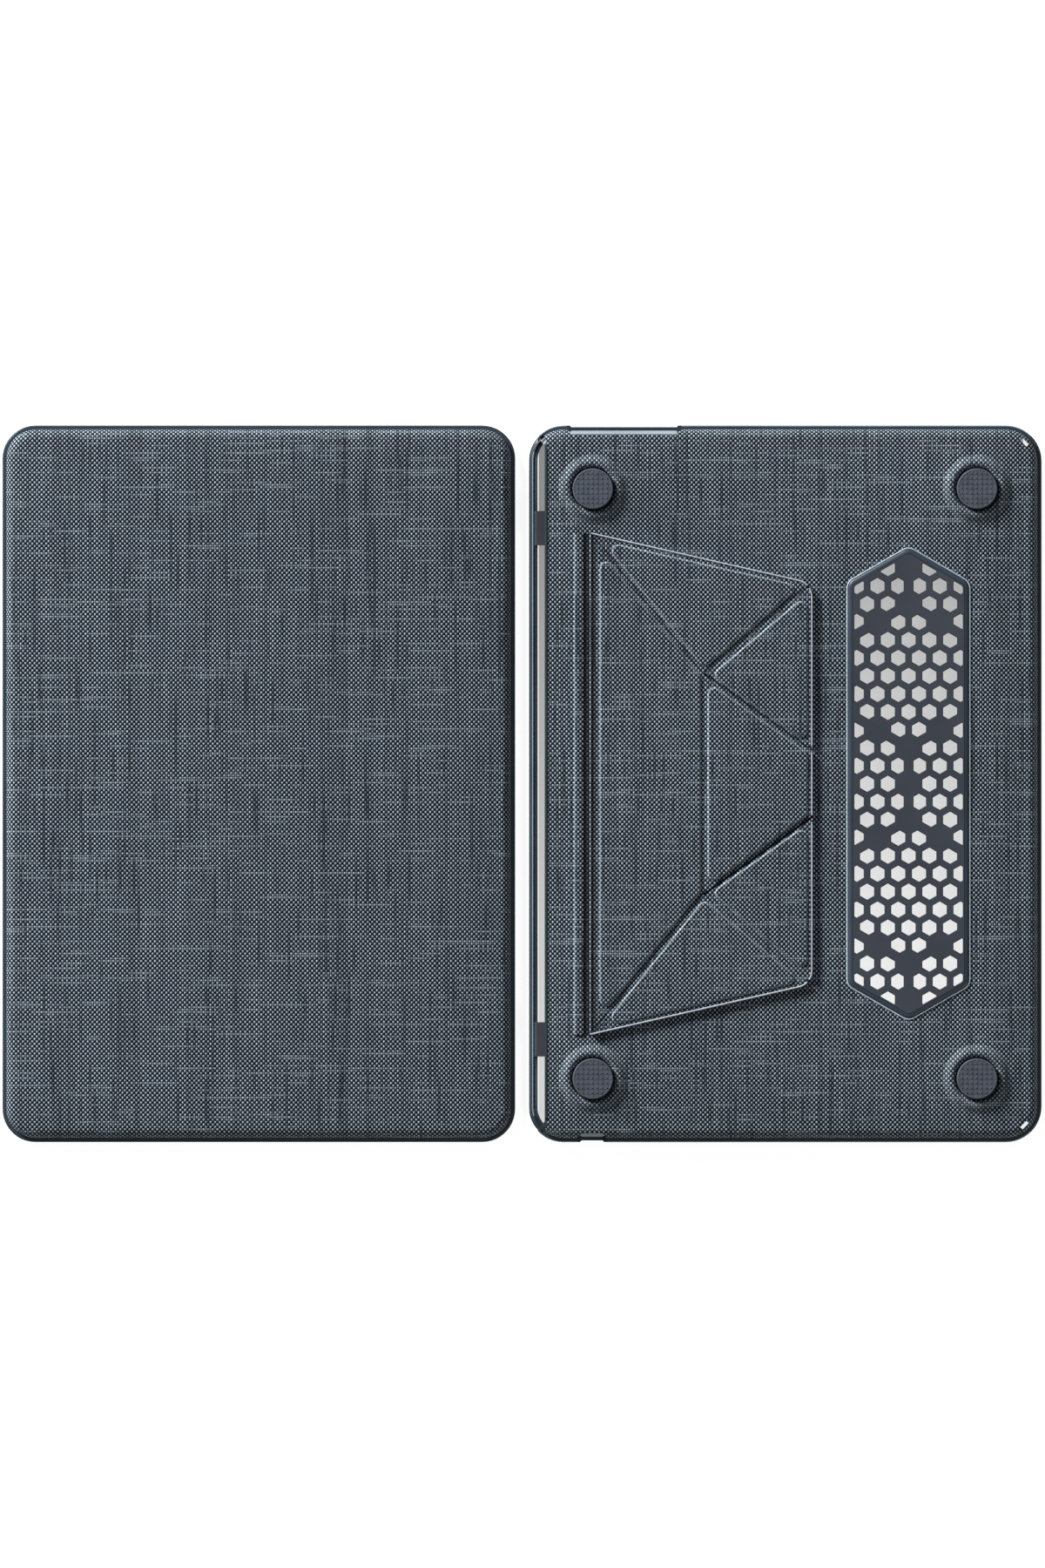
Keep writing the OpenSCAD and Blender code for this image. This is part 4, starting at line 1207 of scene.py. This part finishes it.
class CASE_OT_stand_folds(Operator):
    """Bridge the stand's folds with ribbons of cloth"""
    bl_idname = "case.stand_folds"
    bl_label = "Stand folds"

    def execute(self, context):
        hinge, fold, corner, _ = stand_points()
        stand = context.scene.case_stand
        flange_z = corners("lining_main")[3] + stand.cover
        even, outer, inner, tip = stand.brace_end, stand.wing_end, stand.inner_end, stand.gusset_end
        self.bridge("fold_brace", low_side(fold), fold, (even, even), "stand_main", "stand_brace",
                    flange_z)
        for side, sign in SIDES.items():
            a, b, c = (hinge, fold, corner) if sign > 0 else map(low_side, (hinge, fold, corner))
            wing, gusset = "wing_" + side, "gusset_" + side
            self.bridge("fold_" + wing, a, b, (outer, inner), "stand_main", wing, flange_z)
            self.bridge("fold_" + gusset, b, c, (inner, tip), wing, gusset, flange_z)
        self.hinge_cloth(hinge, flange_z)
        return {"FINISHED"}

    def bridge(self, name, a, b, short, body_a, body_b, flange_z):
        """A ribbon of cloth in a fold's groove, stopping short of the fold's ends."""
        stand = bpy.context.scene.case_stand
        along = (b - a).normalized()
        across = -left_of(along)
        if (self.middle_of(body_a) - a).dot(across) > 0:
            across = -across
        start, end = a + along * short[0], b - along * short[1]
        half = stand.dip_half
        lift, thin, lengths, turn = 0.03 * MM, 0.12 * MM, 24, 0.9
        top = [(r * half, flange_z + lift - stand.dip * (1 - smooth(abs(r))))
               for r in (-0.95, -0.65, -0.3, 0, 0.3, 0.65, 0.95)]
        bottom = [(offset, z - thin) for offset, z in reversed(top)]
        obj = new_object(name, ribbon_mesh(name, start, end, across, top + bottom, lengths), cloth())
        if body_a == "stand_main" and body_b.startswith("wing"):
            # painted shade: the middle of the fold between the main panel and a wing is darkened
            crease_shade = add_finish(obj.data, "crease_painted_shade_cloth", cloth_finish, 0.65)
            for face in obj.data.polygons:
                if abs((face.center.xy - a).dot(across)) < half / 3:
                    face.material_index = crease_shade
        near, far = (start.lerp(end, 0.5) + across * half * side for side in (-turn, turn))
        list(near)
        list(far)
        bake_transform(obj)

    def middle_of(self, body):
        """Plan middle of a body's cover."""
        low, high, _, _ = corners("cover_" + body.removeprefix("stand_"))
        return (low + high) / 2

    def hinge_cloth(self, hinge, flange_z):
        """The cloth that carries the stand: a raised strip on the base and the groove beside it."""
        low, _, base_z, crown_z = corners("stand_hinge_strip")
        _, _, groove_z, step_z = corners("lining_main")
        step_z += 0.02 * MM
        left = (low.x - hinge.x) / MM
        sunk, thick, end_gap, bend = 0.05 * MM, 0.25 * MM, 0.3 * MM, 1.2 * MM
        strip_half, fullness, lengths = 2.2, 0.55, 60
        dome = [(left, base_z - sunk)]
        for angle in map(math.radians, range(20, 161, 10)):
            dome.append((left + strip_half - strip_half * math.cos(angle),
                         base_z + (crown_z - base_z) * math.sin(angle) ** fullness))
        groove = [(offset, groove_z) for offset in (left + 4.6, left + 5.6, -0.7, -0.3)]
        ridge = [(-0.1, step_z + 0.15 * MM), (0.2, step_z + 0.2 * MM)]
        step = [(offset, step_z) for offset in (0.45, 1.1, 1.6)]
        lap = [(1.85, flange_z - 0.05 * MM), (2.1, flange_z + 0.04 * MM)]
        top = [(offset * MM, z) for offset, z in dome + groove + ridge + step + lap]
        bottom = [(offset, max(z - thick, base_z - 2 * sunk)) for offset, z in reversed(top)]
        half = hinge.y - end_gap
        start, end = Vector((hinge.x, -half)), Vector((hinge.x, half))
        mesh = ribbon_mesh("hinge_cloth", start, end, Vector((1, 0)), top + bottom, lengths)
        obj = new_object("hinge_cloth", mesh, cloth())
        # painted shade: beyond the raised strip, except along the hinge line, the cloth is darkened;
        # the lighter slope cloth, a painted highlight, stays only on slopes that do not face +X, away
        # from the key lamp
        pressed = add_finish(mesh, "hinge_groove_painted_shade_cloth", cloth_finish, 0.8)
        highlight_slopes(mesh)
        strip_end, line_half, lean = (left + 4) * MM, 0.4 * MM, 0.1
        for face in mesh.polygons:
            reach = face.center.x - hinge.x
            if reach > strip_end and abs(reach) > line_half:
                face.material_index = pressed
            elif face.normal.x > lean:
                face.material_index = 0
        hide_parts("stand_hinge_strip")
        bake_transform(obj)


def foot_ribs_tree():
    """Geometry nodes that lay a square grid of grip ribs inside a circle."""
    tree = bpy.data.node_groups.new("grip_ribs", "GeometryNodeTree")
    kinds = {"Geometry": "Geometry", "Radius": "Float", "Pitch": "Float", "Width": "Float",
             "Height": "Float", "Centre": "Vector", "Finish": "Material"}
    for name, kind in kinds.items():
        tree.interface.new_socket(name, in_out="INPUT", socket_type="NodeSocket" + kind)
    tree.interface.new_socket("Geometry", in_out="OUTPUT", socket_type="NodeSocketGeometry")
    n = Nodes(tree)
    given = n.add("NodeGroupInput").outputs
    radius, pitch = given["Radius"], given["Pitch"]

    # one rib through the middle and the others at whole pitches on both sides
    steps = n.math("FLOOR", n.math("DIVIDE", radius, pitch))
    first = n.math("MULTIPLY", steps, n.math("MULTIPLY", pitch, -1.0))
    line = n.add("GeometryNodeMeshLine", {
        "Count": n.math("MULTIPLY_ADD", steps, 2.0, 1.0),
        "Start Location": n.combine(first), "Offset": n.combine(pitch)}, mode="OFFSET")

    # each rib is as long as the circle is wide at its place
    across = n.split(n.out("GeometryNodeInputPosition"))["X"]
    square = n.math("SUBTRACT", n.math("MULTIPLY", radius, radius), n.math("MULTIPLY", across, across))
    chord = n.math("MULTIPLY", n.math("SQRT", n.math("MAXIMUM", square, 0.0)), 2.0)
    ribs = n.add("GeometryNodeInstanceOnPoints", {
        "Points": line.outputs[0], "Instance": n.out("GeometryNodeMeshCube"),
        "Scale": n.combine(given["Width"], chord, given["Height"])}).outputs[0]
    turned = n.add("GeometryNodeTransform", {"Geometry": ribs, "Rotation": (0, 0, math.pi / 2)})
    joined = n.add("GeometryNodeJoinGeometry", {0: ribs})
    n.feed(joined.inputs[0], turned.outputs[0])
    seat = n.out("GeometryNodeTransform", joined.outputs[0], given["Centre"])
    real = n.out("GeometryNodeRealizeInstances", seat)
    paint = n.add("GeometryNodeSetMaterial", {"Geometry": real, "Material": given["Finish"]})
    n.add("NodeGroupOutput", {0: paint.outputs[0]})
    return tree


def grown(name, tree, values):
    """Runs a geometry node tree with its named inputs and keeps the result as a plain mesh."""
    holder = bpy.data.objects.new(name + "_holder", bpy.data.meshes.new(name + "_holder"))
    modifier = holder.modifiers.new(tree.name, "NODES")
    modifier.node_group = tree
    for socket in tree.interface.items_tree:
        if socket.in_out == "INPUT" and socket.name in values:
            modifier[socket.identifier] = values[socket.name]
    mesh = baked(holder)
    mesh.name = name
    return new_object(name, mesh)


class CASE_OT_feet(Operator):
    """Mould the four rubber feet with their grip ribs"""
    bl_idname = "case.feet"
    bl_label = "Rubber feet"

    def execute(self, context):
        foot = context.scene.case_foot
        rubber = finish_of("foot_rubber", rubber_finish, foot.rubber)
        tree = foot_ribs_tree()
        for node, centre, radius in foot_places():
            _, _, z0, z1 = corners(node)
            edge = foot.edge
            flat, low_z, floor_z = radius - edge, z1 - edge, z1 - foot.rib_height
            profile = [(0, z0), (radius, z0)]
            for angle in map(math.radians, range(0, 91, 15)):
                profile.append((flat + edge * math.cos(angle), low_z + edge * math.sin(angle)))
            rim = flat - foot.rim
            profile += [(rim, z1), (rim - foot.rib_height / 2, floor_z), (0, floor_z)]
            name = node + "_rubber"
            obj = new_object(name, lathe_mesh(name, centre, profile), rubber)
            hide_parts(node)
            sunk = 0.01 * MM
            ribs = grown(node + "_ribs", tree, {
                "Radius": rim, "Pitch": foot.rib_pitch, "Width": foot.rib_width,
                "Height": foot.rib_height, "Finish": rubber,
                "Centre": (centre.x, centre.y, floor_z + foot.rib_height / 2 - sunk)})
            for piece in (obj, ribs):
                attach(piece, "base")
        return {"FINISHED"}


class CASE_OT_vent(Operator):
    """Build the vent's frame and its perforated grille"""
    bl_idname = "case.vent"
    bl_label = "Air vent"

    def execute(self, context):
        vent = context.scene.case_vent
        self.frame_ring(vent)
        self.grille(vent)
        return {"FINISHED"}

    def frame_ring(self, vent):
        """Frame with a thin bead outside, whose light colour is a painted highlight, and a rounded
        rise to the grille's level.
        """
        _, _, z0, z1 = corners("vent_frame")
        z1 += vent.crown
        cloth_z = cloth_level()
        half, height = vent.bead_width / 2, z1 - cloth_z
        width = vent.bezel + vent.skirt - vent.bead_width
        bead = [(-half + half * math.cos(turn), cloth_z + vent.bead_height * math.sin(turn))
                for turn in map(math.radians, range(0, 181, 30))]
        rise = [(-vent.bead_width - width * (1 - math.cos(turn)), cloth_z + height * math.sin(turn))
                for turn in map(math.radians, range(15, 91, 15))]
        sunk = cloth_z - 0.05 * MM
        below = [(-vent.bezel - vent.skirt, z0), (-vent.bezel, z0), (-vent.bezel, sunk), (0, sunk)]
        profile = bead + rise + below
        # painted highlight: the bead is given a light colour
        material = finish_of("vent_bead_painted_highlight", plastic_finish, vent.bead, 0.32)
        mesh = sweep_mesh("vent_frame_ring", vent_outline(0), profile, True, sharp=50)
        obj = new_object("vent_frame_ring", mesh, material)
        darker = add_finish(mesh, "vent_rise", plastic_finish, vent.rise, 0.4)
        for face in mesh.polygons:
            if face.index % len(profile) >= len(bead) - 1:
                face.material_index = darker
        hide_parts("vent_frame")
        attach(obj, "base")

    def grille(self, vent):
        """Flat plate with hexagonal holes, trimmed along the solid ribs and at the border."""
        low, high, z0, _ = corners("vent_grille")
        step_down = 0.02 * MM
        z1 = corners("vent_frame")[3] + vent.crown - step_down
        middle = (low + high) / 2
        inner = vent.bezel + vent.skirt
        border = vent_outline(inner + vent.border)
        step = vent.pitch * math.sin(math.radians(60))
        rows = math.floor((vent.tip - inner) / step - vent.end_share)
        ribs = list(grille_ribs(rows, step, vent.rib_run))
        holes = []
        for row in range(-rows, rows + 1):
            first = -2 if row % 2 == 0 else -2.5
            for place in (first + k for k in range(round(1 - 2 * first))):
                if not has_hole(abs(row), place, rows):
                    continue
                centre = middle + Vector((place * vent.pitch, row * step))
                outline = overlap(ring_of_six(centre, vent.hole), border)
                for start, along, run in ribs:
                    outline = clear_of_rib(outline, centre, middle + start, along, run, vent)
                if len(outline) > 2:
                    holes.append(outline)
        material = finish_of("vent_plastic", plastic_finish, vent.plate, 0.55)
        mesh = plate_mesh("vent_grille_plate", [vent_outline(inner)] + holes, z0, z1, vent.edge)
        obj = new_object("vent_grille_plate", mesh, material)
        # painted shade: the holes' bevels are given a dark colour
        bevel, flattest = add_finish(mesh, "vent_bevel_painted_shade", plastic_finish, vent.bevel, 0.6), 0.95
        for face in mesh.polygons:
            if abs(face.normal.z) < flattest:
                face.material_index = bevel
        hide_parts("vent_grille")
        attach(obj, "base")


def ring_of_six(centre, width):
    """A hexagon of that width across its flats, pointing along Y."""
    return [centre + heading(math.radians(30 + 60 * k)) * width / math.sqrt(3) for k in range(6)]


def has_hole(row, place, rows):
    """Whether a place in a row of the grille holds a hole."""
    if row in (0, 2, rows - 2):
        return place != 0
    if row in (3, rows - 3):
        return abs(place) != 1.5
    if row == rows:
        return abs(place) == 1
    return True


def grille_ribs(rows, step, run):
    """Solid ribs of the grille: where each starts, its direction and its length."""
    for row in (1 - rows, -1, 1, rows - 1):
        yield Vector((0, (row - 0.5) * step)), Vector((0, 1)), step
    for row, tilt in ((rows - 2, -30), (2, 30)):
        along = heading(math.radians(tilt))
        for x in SIDES.values():
            for y in SIDES.values():
                yield Vector((0, y * row * step)), Vector((x * along.x, y * along.y)), run


def clear_of_rib(outline, centre, start, along, run, vent):
    """Cuts a hole back where a solid rib passes beside it."""
    half, reach = vent.rib / 2, vent.hole / 2
    across = left_of(along)
    side = (centre - start).dot(across)
    passed = (centre - start).dot(along)
    if len(outline) < 3 or not 0 < passed < run or abs(side) > half + reach:
        return outline
    flip = 1 if side > 0 else -1
    edge = start + across * half * flip
    return clip(outline, edge, edge + along * flip)


class CASE_OT_inner_parts(Operator):
    """Finish the linings, boards, magnets and steel discs"""
    bl_idname = "case.inner_parts"
    bl_label = "Inner parts"

    def execute(self, context):
        lining = finish_of("stand_lining", lining_finish)
        board = finish_of("stiffener_board", board_finish)
        steel = finish_of("plated_steel", metal_finish, srgb(176, 180, 184), 0.32)
        film = finish_of("adhesive_film", adhesive_finish)
        finishes = {"lining_": lining, "board_": board, "stand_magnets": steel, "keeper_discs": steel,
                    "foot_adhesive_discs": film}
        for node, solid in frame["nodes"].items():
            for start, finish in finishes.items():
                if node.startswith(start):
                    solid.data.materials.clear()
                    solid.data.materials.append(finish)
        return {"FINISHED"}


class CASE_OT_stage(Operator):
    """Set the camera above the case, with a pale floor and soft studio light"""
    bl_idname = "case.stage"
    bl_label = "Studio"

    def execute(self, context):
        stage = context.scene.case_stage
        context.scene.view_settings.view_transform = "Standard"
        self.camera(context, stage)
        self.floor(stage)
        self.lamps(stage)
        self.world(context, stage)
        return {"FINISHED"}

    def camera(self, context, stage):
        """Straight down, with the case a hair off the middle of the view."""
        data = bpy.data.cameras.new("camera")
        data.sensor_width = 36
        view_height = stage.view_width * 3 / 2  # of a picture that is 2 wide and 3 high
        data.lens = data.sensor_width * (stage.camera_height - stage.face_height) / view_height
        data.clip_end = 20
        camera = bpy.data.objects.new("camera", data)
        camera.location = (stage.camera_x, stage.camera_y, stage.camera_height)
        context.scene.collection.objects.link(camera)
        context.scene.camera = camera

    def floor(self, stage, reach=3):
        """A square floor, that far to each side."""
        bm = bmesh.new()
        bmesh.ops.create_grid(bm, x_segments=1, y_segments=1, size=reach)
        mesh = bpy.data.meshes.new("floor")
        bm.to_mesh(mesh)
        bm.free()
        new_object("floor", mesh, finish_of("pale_floor", self.floor_finish, stage))

    def floor_finish(self, n, stage, pale=0.86, white=(1, 1, 1)):
        """Pale, and glowing for the camera; under the base half the glow is dimmed as a painted shade,
        which shows through the case's openings.
        """
        rays = n.add("ShaderNodeLightPath").outputs
        seen = n.math("MAXIMUM", rays["Is Camera Ray"],
                      n.math("MAXIMUM", rays["Is Glossy Ray"], rays["Is Transmission Ray"]))
        x, y, _ = n.split(n.place())
        low, high, _, _ = corners("base_shell")
        middle = (low + high) / 2
        # painted shade: under the base half the glow darkens towards the back and again towards the
        # hinge slot
        under = n.span(y, stage.glow_start, stage.glow_end, stage.under_near, stage.under_far)
        fade = n.math("MULTIPLY", under, n.span(x, middle.x / 2, middle.x, stage.slot_share, 1.0))
        border_y, shift = stage.border * 0.6, stage.border * 0.3
        half = high - middle - Vector((stage.border, border_y))
        off_x = n.math("ABSOLUTE", n.math("SUBTRACT", x, middle.x - shift))
        off_y = n.math("ABSOLUTE", n.math("SUBTRACT", y, middle.y))
        outside = n.math("MAXIMUM", n.math("GREATER_THAN", off_x, half.x),
                         n.math("GREATER_THAN", off_y, half.y))
        glow = n.math("ADD", n.math("MULTIPLY", outside, stage.around),
                      n.math("MULTIPLY", n.math("SUBTRACT", 1.0, outside), fade))
        base = n.out("ShaderNodeBsdfDiffuse", (pale, pale, pale))
        light = n.out("ShaderNodeEmission", white, n.math("MULTIPLY", seen, glow))
        n.end(n.out("ShaderNodeAddShader", base, light))

    def lamps(self, stage):
        """A key lamp at the upper left and a weak counter lamp at the lower right."""
        lamps = (("key", (-3.3, 3.3, 1.6), 1.5, stage.key_watts),
                 ("counter", (3.2, -3.0, 3.4), 2.5, stage.key_watts * stage.counter))
        for name, place, size, watts in lamps:
            data = bpy.data.lights.new(name, "AREA")
            data.shape = "DISK"
            data.size = size
            data.energy = watts
            lamp = bpy.data.objects.new(name, data)
            lamp.location = place
            lamp.rotation_euler = (-Vector(place)).to_track_quat("-Z", "Y").to_euler()
            bpy.context.scene.collection.objects.link(lamp)

    def world(self, context, stage):
        """Even fill light, which the camera sees as white."""
        world = bpy.data.worlds.new("studio")
        context.scene.world = world
        world.use_nodes = True
        n = Nodes(world.node_tree)
        rays = n.add("ShaderNodeLightPath").outputs
        seen = n.math("MAXIMUM", rays["Is Camera Ray"], rays["Is Transmission Ray"])
        background = n.add("ShaderNodeBackground", {"Strength": n.span(seen, 0, 1, stage.fill)})
        n.end(background.outputs[0], "ShaderNodeOutputWorld")


STEPS = (CASE_OT_shells, CASE_OT_lid_cloth, CASE_OT_base_cloth, CASE_OT_stand_covers,
         CASE_OT_stand_folds, CASE_OT_feet, CASE_OT_vent, CASE_OT_inner_parts, CASE_OT_stage)


class CASE_PT_finish(Panel):
    """Buttons and settings for the case's finish"""
    bl_idname = "CASE_PT_finish"
    bl_label = "Laptop Case"
    bl_space_type = "VIEW_3D"
    bl_region_type = "UI"
    bl_category = "Laptop Case"

    def draw(self, context):
        for step in STEPS:
            self.layout.operator(step.bl_idname)
        for key, group in GROUPS.items():
            box = self.layout.box()
            box.label(text=group.__doc__)
            for name in group.__annotations__:
                box.prop(getattr(context.scene, key), name)


CLASSES = (*GROUPS.values(), *STEPS, CASE_PT_finish)


def register():
    for cls in CLASSES:
        bpy.utils.register_class(cls)
    for key, group in GROUPS.items():
        setattr(bpy.types.Scene, key, PointerProperty(type=group))


def unregister():
    for key in GROUPS:
        delattr(bpy.types.Scene, key)
    for cls in reversed(CLASSES):
        bpy.utils.unregister_class(cls)


def main():
    register()
    for step in STEPS:
        group, name = step.bl_idname.split(".")
        getattr(getattr(bpy.ops, group), name)()


if __name__ == "__main__":
    main()
